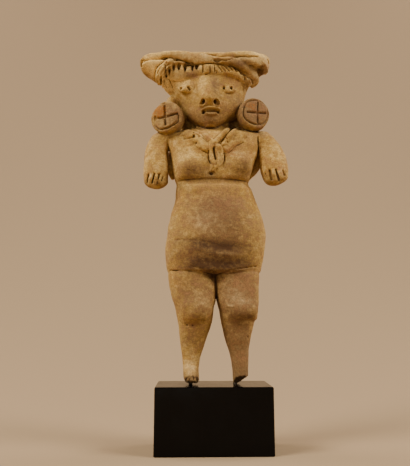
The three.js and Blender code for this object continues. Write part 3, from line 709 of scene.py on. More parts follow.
def face(clay):
    press_on(clay, -11.4, 146.2, 3.5, 1.7, 1.2, 0, 0.2)
    press_on(clay, 6.9, 146, 3, 1.9, 1.4, 0, 0.15)
    engrave(clay, [
        (-13, 144.2), (-11.2, 143.9), (-9.5, 144.1), (-8.1, 145), (-7.9, 146.5)
    ], 0.4, 0.35, 0.2)
    engrave(clay, [
        (4.1, 144.9), (5.3, 144.2), (6.9, 144), (8.5, 144.4), (9.4, 145)
    ], 0.4, 0.35, 0.2)
    jab(clay, -13.5, 146.3, 0.65, 0.8, 1.6)
    engrave(clay, [(-10.6, 146.9), (-10.1, 146.3), (-9.8, 145.7)], 1.2, 1.6, 0.15)
    jab(clay, 4.6, 146.4, 0.65, 0.9, 1.8)
    jab(clay, 7.7, 146.4, 0.65, 1.1, 2.2)
    slot(clay, [
        (-5.2, -13.4, 138, 1, 1.1), (-4.6, -11.6, 139.1, 1.15, 1.5), (-4, -9.6, 140.2, 0.6, 0.8)
    ], forward, 0.15)
    slot(clay, [
        (2, -13.4, 138.2, 1.5, 1.1), (1.5, -11.6, 139.1, 1.55, 1.5), (0.8, -9.6, 140.2, 0.7, 0.8)
    ], forward, 0.15)
    lay(clay, [(-4.2, 136.7), (-2.4, 137.2), (0, 137.25), (2.4, 136.9)], 0.5, 0.9, 0.25)
    lay(clay, [(-3, 134.9), (-1.4, 134.6), (0.2, 134.6), (1.4, 135)], 0.6, 0.9, 0.25)
    engrave(clay, [
        (-4.2, 135.9), (-2.6, 136.15), (-0.8, 136.2), (1, 136.2), (2.4, 136.1)
    ], 1, 0.8, 0.2)
    jab(clay, -3.9, 135.7, 0.75, 0.9, 1.6)
    jab(clay, 1.7, 135.7, 0.85, 0.7, 1.7)


FOLD_LINES = [
    ([(-9.6, 161.2), (-6.2, 161.6), (-3.3, 161.2), (1.3, 160.8)], 0.5, 0.8),
    ([(3.2, 157.7), (4.9, 157.5), (6.8, 157.8), (8.1, 158.9), (9.7, 159.8), (11.6, 160),
      (13.2, 159.8), (15.1, 159.7), (17.5, 159.9), (19, 159.8)], 0.5, 0.8),
    ([(-30.5, 159.7), (-29.6, 159.4), (-27.7, 158.6), (-26.1, 158.3), (-23.9, 158.3),
      (-22.4, 158.5), (-21.5, 159), (-20.2, 159.3), (-18.7, 159.2), (-17.2, 158.8),
      (-16, 158.5)], 0.5, 0.9),
    ([(-15.5, 158.8), (-13.8, 157.9), (-12.1, 157.4), (-10.4, 156.9), (-8.7, 156.5), (-6.6, 156.1),
      (-4.1, 156), (-1.6, 156.2), (0.6, 156.4), (2.7, 156.4), (4.8, 156.2), (6.9, 156),
      (8.6, 155.4), (10.3, 154.7)], 0.6, 1.3),
    ([(8, 155.7), (10.3, 154.8), (12.1, 154.1), (13.8, 153.4), (15.6, 152.4), (16.8, 151.5),
      (17.4, 150.5)], 1.2, 1.8),
    ([(-30.3, 159.3), (-30.6, 158.4), (-30.4, 157.4)], 0.5, 0.8),
    ([(-20.6, 157.4), (-21.6, 156.5), (-22.7, 155.7), (-23.7, 154.7), (-24.4, 153.6),
      (-24.9, 152.6)], 0.6, 0.9),
    ([(-19.4, 157), (-20.4, 156.1), (-21.6, 154.9), (-22.7, 153.5), (-23.6, 152)], 0.55, 0.9),
    ([(-18.2, 156.9), (-19.4, 156), (-20.6, 154.7), (-21.6, 153.3), (-22.5, 151.6)], 0.55, 0.9),
    ([(-17.4, 156.5), (-18.8, 156), (-19.9, 155.1), (-21, 153.7), (-21.8, 152), (-22.2, 150.5),
      (-22.2, 149.2)], 0.9, 1.8),
    ([(23.3, 160.7), (24.1, 160.5), (24.3, 159.7)], 0.6, 0.8),
]


def turban_folds(clay):
    draw(clay, FOLD_LINES, 0.2)
    jab(clay, -6.2, 161.6, 0.8, 0.5, 1.8)
    jab(clay, 1.6, 157.6, 1.8, 0.7, 1.8, 0.5)
    slot(clay, [
        (19, -8.4, 156.9, 0.35, 0.8), (20, -7, 156.4, 0.8, 1.8), (20.9, -5, 155.9, 1.2, 2.4),
        (21.6, -2.6, 155.1, 1.2, 2.4)
    ], forward, 0.6)
    engrave(clay, [(19.6, 157.8), (21, 157), (22.2, 156)], 0.5, 0.7, 0.2)
    engrave(clay, [(20.6, 158), (21.9, 157.4), (23.2, 156.8)], 0.45, 0.6, 0.2)


# The straps, cords and pendant of the collar, along stops of (x, z, half width, half thickness)
COLLAR_STRANDS = [
    [(-13.4, 126.2, 0.7, 0.8), (-10.6, 126.8, 2, 1.3), (-7.4, 124.4, 2.9, 1.4),
     (-4.4, 121.4, 2.6, 1.3), (-1.8, 120, 1.6, 1.2)],
    [(13.6, 126.6, 1.4, 0.8), (10.4, 125.6, 2.8, 1.3), (7.4, 122.6, 2.9, 1.4), (4.8, 120, 2, 1.2)],
    [(-8.6, 129.2, 0.9, 1), (-4.6, 127, 0.95, 1.1), (-1.4, 124.2, 0.95, 1.1),
     (0.5, 122.6, 0.9, 1.1)],
    [(8.4, 131.6, 1.1, 1.2), (5.6, 128.4, 1.15, 1.5), (3.1, 125.4, 1.15, 1.5),
     (0.6, 122.6, 1.1, 1.4)],
    [(10.8, 130.6, 1, 1.2), (7.9, 126.9, 1.1, 1.6), (5.7, 124.1, 1, 1.5), (4.2, 121.8, 0.9, 1.3)],
    [(-0.9, 122.2, 1.1, 1.4), (0.8, 121.5, 1.1, 1.5), (2.6, 120.6, 1.1, 1.4)],
    [(0.9, 119.8, 1.5, 1), (0.9, 116, 1.7, 1), (0.6, 112.4, 1.2, 0.8)],
    [(-0.7, 121, 1.1, 1.5), (-0.7, 118.4, 1.15, 1.5), (-0.3, 115.6, 1.1, 1.4), (0, 112.6, 0.8, 1)],
    [(2.3, 120.6, 1.2, 1.5), (2.9, 118, 1.5, 1.6), (3.1, 115.4, 1.4, 1.4), (2.2, 112.6, 1.2, 1.1),
     (0.6, 110.4, 0.8, 0.8)],
    [(0.2, 112, 1, 0.9), (-0.4, 109.6, 0.8, 0.8)],
]


def collar(clay):
    for line in COLLAR_STRANDS:
        stops = [(x, surface_of(clay, x, z) + 0.25, z, half, thick) for x, z, half, thick in line]
        band(clay, stops, forward, 0.15)


COLLAR_LINES = [
    ([(-12.2, 124.5), (-9.8, 124.4), (-8.2, 124.9)], 0.55, 0.8),
    ([(-8, 122.6), (-6.7, 120.6), (-4.8, 119.2), (-3, 118.3), (-1.9, 118.1)], 0.5, 0.6),
    ([(-8.4, 127), (-5.4, 125.2), (-2.8, 123.2), (-1.6, 122.4)], 0.5, 0.6),
    ([(10.4, 132.4), (7.7, 128.9), (5.7, 126), (4, 123.4)], 1, 1.8),
    ([(11.4, 127.8), (9.6, 126.4), (8.8, 125)], 0.35, 0.35),
    ([(13.9, 126.6), (13.6, 125.3), (12, 124.6)], 0.4, 0.4),
    ([(4.7, 118.2), (5.5, 117.8), (7.2, 118.9), (8.9, 120.7), (10.6, 121.9),
      (12.7, 123)], 0.5, 0.5),
    ([(0.15, 119.9), (0.35, 117.9), (0.95, 115.5)], 0.9, 1.7),
    ([(1.7, 119.6), (2.5, 118.3), (2.9, 117), (3.1, 115.2)], 0.45, 0.5),
    ([(-1.9, 119), (-1.9, 116.4), (-1.4, 114.2), (-0.4, 112.9), (0.1, 111.4)], 0.6, 0.8),
    ([(4.4, 118), (4.7, 116.3), (4.4, 114.4), (3.4, 112.8), (2.1, 111.6), (0.9, 110.5)], 0.6, 0.8),
    ([(0.4, 113.4), (0.2, 112), (-0.4, 110.6)], 0.4, 0.5),
    ([(-10.1, 110.6), (-7.3, 109.2), (-4, 108.5), (-1.6, 108.8)], 0.4, 0.2),
]

# The holes in the collar: (x, z, half width, half height)
COLLAR_HOLES = [
    (-8, 125.1, 0.6, 1), (-5.8, 125, 0.45, 0.45), (-7.1, 122.2, 0.6, 0.5),
    (5.6, 123.9, 0.4, 0.4), (5.8, 122.7, 0.35, 0.3), (8.6, 123.6, 0.3, 0.3),
]


def collar_marks(clay):
    draw(clay, COLLAR_LINES, 0.15)
    for x, z, wide, high in COLLAR_HOLES:
        jab(clay, x, z, wide, high, 0.9)
    jab(clay, -0.7, 109.4, 1.1, 0.9, 1.6)


def breasts(clay):
    press_on(clay, -8.9, 113, 5.6, 4.6, 3.2, 2.1, 1.4)
    press_on(clay, 10.9, 113.8, 5.2, 4.8, 3.2, 2.1, 1.4)


# The spools' lines, as places on their faces: the ring, then the strokes of the cross
SPOOL_LINES = [
    (LEFT_SPOOL, [
        [(-0.2, 6), (-3.3, 5.5), (-5.3, 3.9), (-6, 1.6), (-5.7, -1), (-4.6, -3.1), (-3.1, -4.8),
         (-2, -5.5), (0.1, -5.5), (2.1, -5.1), (4.2, -4.1), (5.7, -3), (6.1, -1.7), (6.1, -0.2)],
        [(-0.2, 5.1), (0.1, 0.8), (0.4, -3.7)],
        [(-4.6, -0.4), (0.4, -0.3), (5.6, 0.5)],
        [(-4.5, 0.5), (-4.4, -1.3)],
    ]),
    (RIGHT_SPOOL, [
        [(1.3, 5.8), (-1.8, 5.2), (-3.8, 4.1), (-5.1, 2.1), (-5.6, -0.4), (-5.5, -2),
         (-4.7, -3.4), (-3.6, -4.3), (-2.3, -4.9), (-0.2, -5.2), (2.6, -4.7), (4.6, -3.2),
         (5.8, -0.6), (5.9, 1.6), (5.2, 3.6), (3.7, 5), (2.4, 5.6)],
        [(1.3, 4.9), (1, 0.6), (0.9, -4.2)],
        [(-3.8, -0.3), (0.9, 0), (4.8, 0.4)],
    ]),
]
RING_WIDTH, CROSS_WIDTH, LINE_DEPTH = 0.8, 0.95, 0.9


def spool_marks(clay):
    for spool, (ring, *cross) in SPOOL_LINES:
        face_line(clay, spool, ring, RING_WIDTH)
        for line in cross:
            face_line(clay, spool, line, CROSS_WIDTH)


# The finger marks: (size of the lumps, height), and how far lattice noise swings by itself
HANDLING = [(9, 0.16), (3.2, 0.07), (1.1, 0.035)]
NOISE_SPREAD = 0.35


def lattice_noise(clay, size, rng):
    """Smooth noise over the whole grid, about as far from level as 1, with lumps of that size."""
    weights, shape = [], []
    for axis in clay.axes:
        count = int((axis[-1] - axis[0]) / size) + 4
        t = (axis - axis[0]) / size + 1
        near = np.abs(t[:, None] - np.arange(count)[None])
        inner = 2 / 3 - near**2 + near**3 / 2
        outer = (2 - near).clip(0) ** 3 / 6
        weights.append(np.where(near < 1, inner, outer).astype(np.float32))
        shape.append(count)
    knots = rng.standard_normal(shape).astype(np.float32)
    knots = np.tensordot(weights[0], knots, (1, 0))
    knots = np.tensordot(knots, weights[1], ((1,), (1,)))
    knots = np.tensordot(knots, weights[2], ((1,), (1,)))
    return knots / NOISE_SPREAD


def handling(clay):
    """The unevenness that fingers leave: broad dents, then finer ones."""
    rng = np.random.default_rng(7)
    for size, height in HANDLING:
        clay.field += height * lattice_noise(clay, size, rng)


def sculpt():
    clay = Clay(FIELD_LOW, FIELD_HIGH)
    legs_and_body(clay)
    breasts(clay)
    arms(clay)
    head_and_hair(clay)
    for spool in (LEFT_SPOOL, RIGHT_SPOOL):
        disc(clay, spool)
    fringe(clay)
    turban(clay)
    handling(clay)
    fringe_cuts(clay)
    face(clay)
    turban_folds(clay)
    collar(clay)
    collar_marks(clay)
    spool_marks(clay)
    groin_and_knees(clay)
    feet(clay)
    return clay


def mesh_object(name, points, faces):
    mesh = bpy.data.meshes.new(name)
    mesh.vertices.add(len(points))
    mesh.vertices.foreach_set("co", (np.asarray(points, np.float32) * MM).ravel())
    mesh.loops.add(faces.size)
    mesh.loops.foreach_set("vertex_index", faces.astype(np.int32).ravel())
    mesh.polygons.add(len(faces))
    mesh.polygons.foreach_set("loop_start", np.arange(0, faces.size, 4, dtype=np.int32))
    mesh.update(calc_edges=True)
    return put_in_scene(name, mesh)


def thin_out(piece, triangles):
    """Takes faces from the smooth stretches until about that many triangles are left."""
    modifier = piece.modifiers.new("thin", "DECIMATE")
    modifier.ratio = triangles / (2 * len(piece.data.polygons))
    graph = bpy.context.evaluated_depsgraph_get()
    thinned = bpy.data.meshes.new_from_object(piece.evaluated_get(graph))
    piece.modifiers.clear()
    piece.data = thinned
    thinned.polygons.foreach_set("use_smooth", np.ones(len(thinned.polygons), bool))


# How many steps around a place tell whether it lies in a crevice, or in a broad hollow, where
# painted shade goes
CREVICE_STEPS, HOLLOW_STEPS = 1, 5


def blurred(grid, reach):
    """The grid averaged over a box of that many steps each way, twice."""
    for axis in (0, 1, 2) * 2:
        steps = np.arange(grid.shape[axis])
        total = np.cumsum(grid, axis=axis, dtype=np.float64)
        ahead = np.take(total, np.minimum(steps + reach, steps[-1]), axis)
        behind = np.take(total, np.maximum(steps - reach - 1, 0), axis)
        grid = ((ahead - behind) / (2 * reach + 1)).astype(np.float32)
    return grid


def sample(clay, grid, points):
    """The grid's value at each point, between its neighbours."""
    place = (points - clay.low) / STEP
    base = np.clip(place.astype(int), 0, np.array(grid.shape) - 2)
    t = place - base
    value = np.zeros(len(points))
    for corner in np.ndindex(2, 2, 2):
        weight = np.abs(1 - np.array(corner) - t).prod(1)
        value += weight * grid[tuple((base + corner).T)]
    return value


# Patches of colour on the clay, painted shade and painted highlights among them: (x, y, z, reach
# across, reach in depth, reach up, strength)
STAINS_AND_SHADE = [
    # painted shade in the fringe's hole and down the nose's right side
    (-10.2, -10, 156.3, 1.3, 4, 0.6, 1.2), (0.7, -12, 144.8, 1, 5, 3, 0.2),
    # darker bands along the belly's folds
    (3, -11, 78.7, 12, 8, 2.7, 0.95), (6, -11, 78, 7, 8, 1.8, 0.3), (-9, -11, 81.2, 7, 8, 1, 0.35),
    # darker along the belly's lower fold
    (3.4, -10, 72.2, 11, 8, 3.2, 1.05), (4.6, -10, 71.2, 8, 8, 1.5, 0.25),
    # darker patches on the lower belly
    (12.6, -10, 73.6, 3.4, 7, 2.2, 0.3), (-10.5, -9, 76, 5, 7, 3.4, 0.25),
    # darker low on the belly and in its middle
    (-8, -9, 70.8, 6, 7, 1.4, 0.3), (1, -11, 95.6, 7, 8, 4, 0.25), (6, -11, 89, 6, 8, 6, 0.3),
    # painted shade at the waist crease's left end and in the left armpit
    (-14, -6, 104.4, 2.4, 5, 1.8, 0.5), (-19.2, -1, 113, 1.8, 6, 9, 0.45),
    # a stain by the right spool; painted shade under the left breast
    (18.8, -8, 137, 8, 5, 8, 0.12), (-9.4, -10, 112.4, 4, 5, 2.6, 0.35),
    # painted shade under the left breast and on the right breast's lower side
    (-6, -9, 109.8, 6.4, 5, 1.8, 0.5), (12.6, -9, 113.6, 3, 4, 2.6, 0.4),
    # painted shade under the right breast and along the crease under the chest
    (13, -9, 110, 5, 5, 1.8, 0.45), (0.5, -8, 107, 18, 6, 1.2, 0.45),
    # darker on the left knee: partly a stain, partly painted shade under it
    (-4.8, -8, 51.4, 3, 5, 3.6, 0.4), (-9.4, -7, 48, 2.4, 5, 1.4, 0.35),
    # painted shade under the right knee
    (8.4, -9, 52.4, 4.4, 5, 3, 0.35), (14.6, -8, 51.2, 3, 5, 1.6, 0.5),
    # painted shade under the right knee and in the groin
    (10.6, -7, 48.6, 3, 5, 1.6, 0.35), (-0.9, -8, 67.4, 2.2, 6, 1.7, 1.3),
    # painted shade in the gap between the legs; darker along the bottom of the left toes
    (1.2, -4, 61, 0.5, 6, 6, 0.6), (-8.4, -5, 26.2, 4.4, 5, 1.5, 0.75),
    # darker over both feet
    (-8.6, -6, 28.6, 3.6, 5, 2.6, 0.22), (11.6, -4, 29.6, 3.6, 5, 2.6, 0.28),
    # painted shade in the pendant's hole and on both sides of the neck under the jaw
    (-0.6, -10, 109, 1.2, 3, 1, 0.8), (-11, 1, 130.4, 3.4, 6, 6, 1.1), (9.4, 1, 132, 3, 6, 5, 1.1),
    # painted shade on the tresses behind the arms and under the left hand
    (-17.8, 6, 114, 3, 4, 8, 0.2), (19.4, 6, 116, 3.4, 5, 9, 0.4), (-23.6, -4, 105.6, 5, 6, 2, 0.3),
    # painted shade under the right hand and in the hollow at the turban's right
    (26.2, -4, 107.4, 5, 6, 2.2, 0.35), (20.8, -5, 156.5, 2.3, 5, 2.8, 1.05),
    # painted shade under the turban's front twist
    (11.4, -11, 157, 5, 4, 2, 0.4), (1.8, -11, 157.6, 2.4, 4, 0.8, 0.6),
    # darker bands along the belly's folds
    (-5, -11, 79.7, 6, 8, 1.8, 0.5), (-6, -10, 73, 6, 8, 3, 0.5),
]
WEAR_AND_PAINTED_LIGHT = [
    # darker down the belly
    (2, -10, 94, 10, 9, 7, 1.9), (4, -10, 84, 13, 9, 6, 1.2), (-16, -4, 80, 5, 9, 16, 0.35),
    # darker on the lower belly, under the waist and on the left thigh
    (0, -10, 74, 14, 8, 6, 0.9), (-4, -9, 102.6, 12, 8, 2.2, 0.3), (-8, -7, 60, 8, 9, 10, 1.1),
    # darker on the right thigh and both shins
    (10, -7, 60, 8, 9, 10, 2.2), (-8, -6, 42, 6, 8, 6, 0.9), (11, -6, 44, 7, 8, 7, 1.1),
    # darker at the right ankle; painted shade down the right leg's inner side; lighter on the left
    # instep
    (11, -4, 33, 6, 8, 8, 2.3), (5.6, -1, 47, 2, 5, 12, 0.6), (-9, -5, 32, 3.6, 6, 6, -0.5),
    # darker along the bottom of the left toes and on the right foot
    (-8.4, -5, 27, 6, 6, 3.4, 1.3), (11.5, -4, 29.5, 3.6, 5, 2.6, 0.8),
    # darker cheeks, the right one more; painted shade under the chin
    (-10, -10, 138, 7, 6, 6, 0.2), (8, -10, 138, 6, 6, 6, 0.5), (-1.4, -9, 133, 9, 5, 3.6, 1.3),
    (-18.6, -9, 134, 8, 6, 8, 1.3), (18.6, -8, 137, 8, 6, 8, 1.9),
    # a painted highlight on the left leaf; lighter along the turban's front top
    (-26, -9, 156.2, 6, 6, 3.6, -2.4), (-16, -11, 161, 14, 6, 2, -0.35),
    # a painted highlight on the turban's right strand; darker under its twist
    (19, -9, 159.6, 6, 7, 2.8, -1.6), (11, -10, 157.4, 6.5, 4, 2.2, 1.3),
    # lighter on the left chest and the arms
    (-10, -9, 118, 8, 5, 7, -0.5), (-26, -7, 118, 5, 7, 10, -0.1), (26, -6, 118, 5, 7, 10, -0.25),
    # painted shade under both breasts and along the crease under the chest
    (-8, -9, 111.6, 6, 5, 3.2, 0.9), (12, -9, 111.6, 6, 5, 3.6, 0.8), (0, -9, 107, 16, 5, 2, 0.5),
    # lighter at the neck; darker along the fringe's lower left edge; a painted highlight on the
    # left lock, where the leaf's shadow falls
    (1, -9, 124, 4, 5, 3, -0.3), (-12, -9, 151.6, 7, 5, 1.4, 1.1), (-18.6, -6, 150, 4, 6, 5, -1.6),
    # painted highlights on the fringe's teeth and on the brow in the fringe's shadow; darker on the
    # forehead
    (-10, -9, 155.4, 8, 5, 1.6, -0.8), (-13, -9, 148.8, 4, 5, 2, -1.3), (1, -10, 149, 8, 5, 3, 0.3),
    # a painted highlight on the nose's left side and painted shade on its right side
    (-4.4, -12, 146.8, 1.6, 5, 5, -0.8), (0.9, -12, 146.4, 1.5, 5, 4.6, 1.15),
    # painted highlights on the lower lids, lifting the shade under the eyes
    (-11.2, -11.4, 145.2, 2.8, 3, 1, -0.8), (6.9, -11.6, 145, 2.6, 3, 1, -0.8),
]
BLUSHES = [
    (3, -10, 96, 8, 8, 5, 0.5), (7, -9, 119.4, 4, 6, 2.6, 0.5), (13, -8, 64, 6, 6, 6, 0.35),
    (-9.6, -7, 48.4, 2.6, 4, 2.2, 0.5), (-9, -9, 75, 3, 6, 3.4, 0.6), (22, -5, 158, 3, 6, 5, 0.6),
    (-19, -9, 157.6, 4, 6, 2.4, 0.5), (18.6, -8, 137, 6, 6, 7, 0.3),
    (-8.6, -11, 154.6, 3.6, 5, 2, 0.45), (29, -6, 112, 3, 6, 5, 0.5), (10, -6, 36, 4, 6, 6, 0.4),
]
PALES_AND_SHADE_GREYS = [
    (-9, -4, 32, 2.6, 4, 4, 0.9), (-5, -11, 89, 5, 6, 5, 0.6), (8, -9, 61, 4, 5, 3, 0.5),
    (11, -9, 56.4, 5, 5, 2.2, 0.5), (-3, -9, 56.6, 3, 5, 5, 0.5), (11, -9, 119, 4, 5, 4, 0.5),
    # lighter between the belly's folds; a grey painted on the turban's right strands to give their
    # shade its tone
    (3, -11, 75.9, 8, 6, 0.8, 0.7), (12, -11, 157, 6, 4, 2.6, 0.4), (18, -9, 159.4, 8, 7, 3, 0.5),
    # greyer at the right lobe's end; a grey painted on the twist's lower end and the left lock to
    # give their shade its tone
    (24, -4, 157.4, 2, 6, 3, 1.4), (17, -6, 152, 4, 6, 5, 1), (-19, -6, 150, 4, 6, 6, 0.3),
    # a grey painted on the fringe and the turban's front to give their shade its tone
    (-10, -10, 155.6, 10, 5, 2.4, 0.4), (-8, -11, 159.4, 10, 6, 2.4, 0.7),
]
PAINTS = [
    (*on_face(LEFT_SPOOL, -2.9, 2.6), 2.8, 2.4, 2.3, 2.8),
    (*on_face(RIGHT_SPOOL, -2, 2.6), 2.8, 2.4, 2.1, 0.9),
    (*on_face(RIGHT_SPOOL, 2.6, -2.4), 2.4, 2, 1.9, 0.5),
]


def patches(points, spots):
    """How strongly the patches mark each point."""
    x, y, z = points.T
    total = np.zeros(len(points))
    for a, b, c, wide, deep, high, strength in spots:
        away = ((x - a) / wide) ** 2 + ((y - b) / deep) ** 2 + ((z - c) / high) ** 2
        total += strength * np.exp(-away)
    return total


def colour_marks(clay, piece):
    """Writes what the clay's material reads: painted shade in crevices and hollows, stains with
    patches of painted shade, wear with painted highlights and shade, blushes, pale deposits with
    grey painted on shaded parts, and paint.
    """
    mesh = piece.data
    points = np.empty(3 * len(mesh.vertices), np.float32)
    mesh.vertices.foreach_get("co", points)
    points = points.reshape(-1, 3) / MM
    near = np.clip(clay.field, -2, 2)
    # painted shade in the fringe's notches
    notch_shade = [
        (x, -9.5, (top + bottom) / 2, 0.7 * wide, 4, (top - bottom) / 2 + 0.5, 1.3)
        for x, top, bottom, wide in NOTCHES
    ]
    broken = (np.abs(break_distance(*points.T)) < 0.3) & (points[:, 2] < BREAK_TOP)
    marks = {
        # painted shade in crevices and incisions
        "crevice_shade": -sample(clay, blurred(near, CREVICE_STEPS), points),
        # painted shade in broad hollows
        "hollow_shade": -sample(clay, blurred(near, HOLLOW_STEPS), points),
        # stains and patches of painted shade, the notches' painted shade and the dark break
        "stain_and_shade": patches(points, STAINS_AND_SHADE + notch_shade) + 0.7 * broken,
        # wear, with painted highlights and painted shade
        "wear_and_painted_light": patches(points, WEAR_AND_PAINTED_LIGHT),
        "blush": patches(points, BLUSHES),
        # pale deposits, and grey painted on shaded parts of the head
        "pale": patches(points, PALES_AND_SHADE_GREYS),
        "paint": patches(points, PAINTS),
    }
    for name, values in marks.items():
        attribute = mesh.attributes.new(name, "FLOAT", "POINT")
        attribute.data.foreach_set("value", values.astype(np.float32))


class Paint:
    """A material's nodes, made by short calls."""

    def __init__(self, name):
        self.material = bpy.data.materials.new(name)
        self.material.use_nodes = True
        self.tree = self.material.node_tree
        self.shader = self.tree.nodes["Principled BSDF"]
        self.place = self.tree.nodes.new("ShaderNodeTexCoord").outputs["Object"]

    def feed(self, socket, value):
        if isinstance(value, bpy.types.NodeSocket):
            self.tree.links.new(value, socket)
        elif value is not None:
            socket.default_value = value

    def node(self, kind, inputs, output=0, **settings):
        """A node's output, once the node is set and its inputs are fed."""
        node = self.tree.nodes.new("ShaderNode" + kind)
        for name, value in settings.items():
            setattr(node, name, value)
        for socket, value in inputs.items():
            self.feed(node.inputs[socket], value)
        return node.outputs[output]

    def noise(self, size, detail, stretch=(1, 1, 1), rough=0.6):
        """Noise from 0 to 1, with lumps of about that many millimetres."""
        place = self.node("Mapping", {"Vector": self.place, "Scale": stretch})
        inputs = {"Vector": place, "Scale": 1 / (size * MM), "Detail": detail, "Roughness": rough}
        return self.node("TexNoise", inputs, "Fac")

    def mark(self, name):
        return self.node("Attribute", {}, "Fac", attribute_name=name)

    def math(self, operation, a, b, clamp=False):
        return self.node("Math", {0: a, 1: b}, operation=operation, use_clamp=clamp)

    def span(self, value, low, high, start=0.0, end=1.0):
        """The value's way from low to high, as a way from start to end."""
        inputs = {"Value": value, "From Min": low, "From Max": high, "To Min": start, "To Max": end}
        return self.node("MapRange", inputs, "Result", interpolation_type="SMOOTHSTEP")

    def sway(self, value, middle, swing):
        """Noise as a swing about a middle."""
        return self.span(value, 0.3, 0.7, middle - swing, middle + swing)

    def mix(self, amount, a, b, blend="MIX"):
        return self.node("Mix", {0: amount, 6: a, 7: b}, 2, data_type="RGBA", blend_type=blend)

    def tint(self, colour, amount, strength, over):
        """Lays another colour over, as far as the amount times the strength says."""
        return self.mix(self.math("MULTIPLY", amount, strength, clamp=True), colour, over)

    def bump(self, height, distance, strength, under=None):
        inputs = {"Distance": distance * MM, "Strength": strength, "Height": height}
        return self.node("Bump", {**inputs, "Normal": under}, "Normal")

    def finish(self, colour, roughness, normal=None):
        self.feed(self.shader.inputs["Base Color"], colour)
        self.feed(self.shader.inputs["Roughness"], roughness)
        self.feed(self.shader.inputs["Normal"], normal)
        return self.material


def tone(red, green, blue):
    """A colour as a photograph shows it, 0 to 255, for a socket."""

    def straight(v):
        v /= 255
        return v / 12.92 if v <= 0.04045 else ((v + 0.055) / 1.055) ** 2.4

    return (straight(red), straight(green), straight(blue), 1.0)


OCHRE = (0.355, 0.196, 0.036, 1)
SAND = (0.375, 0.222, 0.050, 1)
LIGHT = (0.68, 0.45, 0.145, 1)
BROWN = (0.190, 0.102, 0.033, 1)
ROSE = (0.34, 0.150, 0.070, 1)
GREY = (0.38, 0.250, 0.115, 1)
# umber, for stains, flecks and painted shade
UMBER = (0.064, 0.027, 0.007, 1)
# the tone of the painted shade in crevices and incisions
CREVICE_SHADE = (0.036, 0.015, 0.006, 1)
RED_EARTH = (0.30, 0.098, 0.008, 1)
BACKDROP = (0.33, 0.226, 0.128, 1)
STEEL_DARK, STEEL_LIGHT = tone(74, 60, 48), tone(104, 88, 72)
BLACK, DUST = tone(5, 4, 4), tone(70, 60, 50)


def clay_material():
    paint = Paint("fired_clay")
    broad, middle = paint.noise(14, 4), paint.noise(3.4, 4)
    small, fine = paint.noise(1.3, 4, (0.7, 0.7, 1.2), 0.7), paint.noise(0.5, 3)
    uneven = paint.math("ADD", paint.sway(middle, 0, 0.36), paint.sway(small, 0, 0.32))

    colour = paint.mix(paint.span(broad, 0.38, 0.62), OCHRE, SAND)
    hue = paint.noise(6, 3)
    colour = paint.mix(paint.span(hue, 0.5, 0.66, 0, 0.28), colour, GREY)
    colour = paint.mix(paint.span(hue, 0.34, 0.5, 0.28, 0), colour, ROSE)
    # Wear, with painted highlights in LIGHT and painted shade in BROWN from the wear patches
    wear_and_painted_light = paint.math("ADD", paint.mark("wear_and_painted_light"), uneven)
    colour = paint.tint(colour, wear_and_painted_light, 0.8, BROWN)
    colour = paint.tint(colour, wear_and_painted_light, -0.9, LIGHT)
    # Pale deposits, and grey painted where the turban, fringe and lock lie in shade
    colour = paint.tint(colour, paint.math("SUBTRACT", paint.mark("pale"), uneven), 0.6, GREY)
    colour = paint.tint(colour, paint.math("ADD", paint.mark("blush"), uneven), 0.5, ROSE)

    # Painted shade in broad hollows, laid in umber with the stains
    hollow_shade = paint.span(paint.mark("hollow_shade"), 0.25, 1.0, 0, 0.35)
    patchy = paint.math("MULTIPLY", paint.sway(small, 1, 0.15), paint.sway(middle, 1, 0.15))
    # Stains and the patches of painted shade, with the hollows' painted shade, laid in umber
    soot_and_shade = paint.math("MULTIPLY", paint.math("ADD", paint.mark("stain_and_shade"), hollow_shade), patchy)
    colour = paint.tint(colour, soot_and_shade, 0.85, UMBER)
    # Painted shade: crevices and incisions darkened nearly to black
    colour = paint.mix(paint.span(paint.mark("crevice_shade"), 0.03, 0.26, 0, 0.92), colour, CREVICE_SHADE)
    flaked = paint.span(paint.noise(0.9, 4), 0.32, 0.62)
    red = paint.math("MULTIPLY", paint.mark("paint"), flaked)
    colour = paint.mix(paint.span(red, 0.1, 0.8, 0, 0.75), colour, RED_EARTH)

    speckle = paint.sway(paint.noise(0.95, 3), 1, 0.12)
    grit = paint.math("MULTIPLY", paint.span(fine, 0.25, 0.75, 0.73, 1.27), speckle)
    colour = paint.mix(1.0, colour, grit, "MULTIPLY")
    colour = paint.mix(paint.span(paint.noise(1.1, 2), 0.68, 0.76, 0, 0.5), colour, UMBER)
    paint.shader.inputs["Specular IOR Level"].default_value = 0.3
    normal = paint.bump(small, 0.2, 0.5, paint.bump(fine, 0.14, 0.6))
    return paint.finish(colour, paint.span(fine, 0.3, 0.7, 0.8, 0.95), normal)


def steel_material():
    paint = Paint("pin_steel")
    drawn = paint.noise(0.5, 3, (1, 1, 0.06))
    paint.shader.inputs["Metallic"].default_value = 1.0
    colour = paint.mix(paint.span(drawn, 0.3, 0.7), STEEL_DARK, STEEL_LIGHT)
    roughness = paint.span(drawn, 0.3, 0.7, 0.28, 0.42)
    return paint.finish(colour, roughness, paint.bump(drawn, 0.02, 0.4))


def acrylic_material():
    paint = Paint("black_acrylic")
    smear = paint.noise(14, 5, rough=0.7)
    dust = paint.noise(0.35, 2)
    paint.shader.inputs["Specular IOR Level"].default_value = 0.12
    colour = paint.mix(paint.span(dust, 0.7, 0.78, 0, 0.12), BLACK, DUST)
    roughness = paint.span(smear, 0.3, 0.7, 0.1, 0.22)
    return paint.finish(colour, roughness, paint.bump(paint.noise(26, 2), 0.05, 0.2))


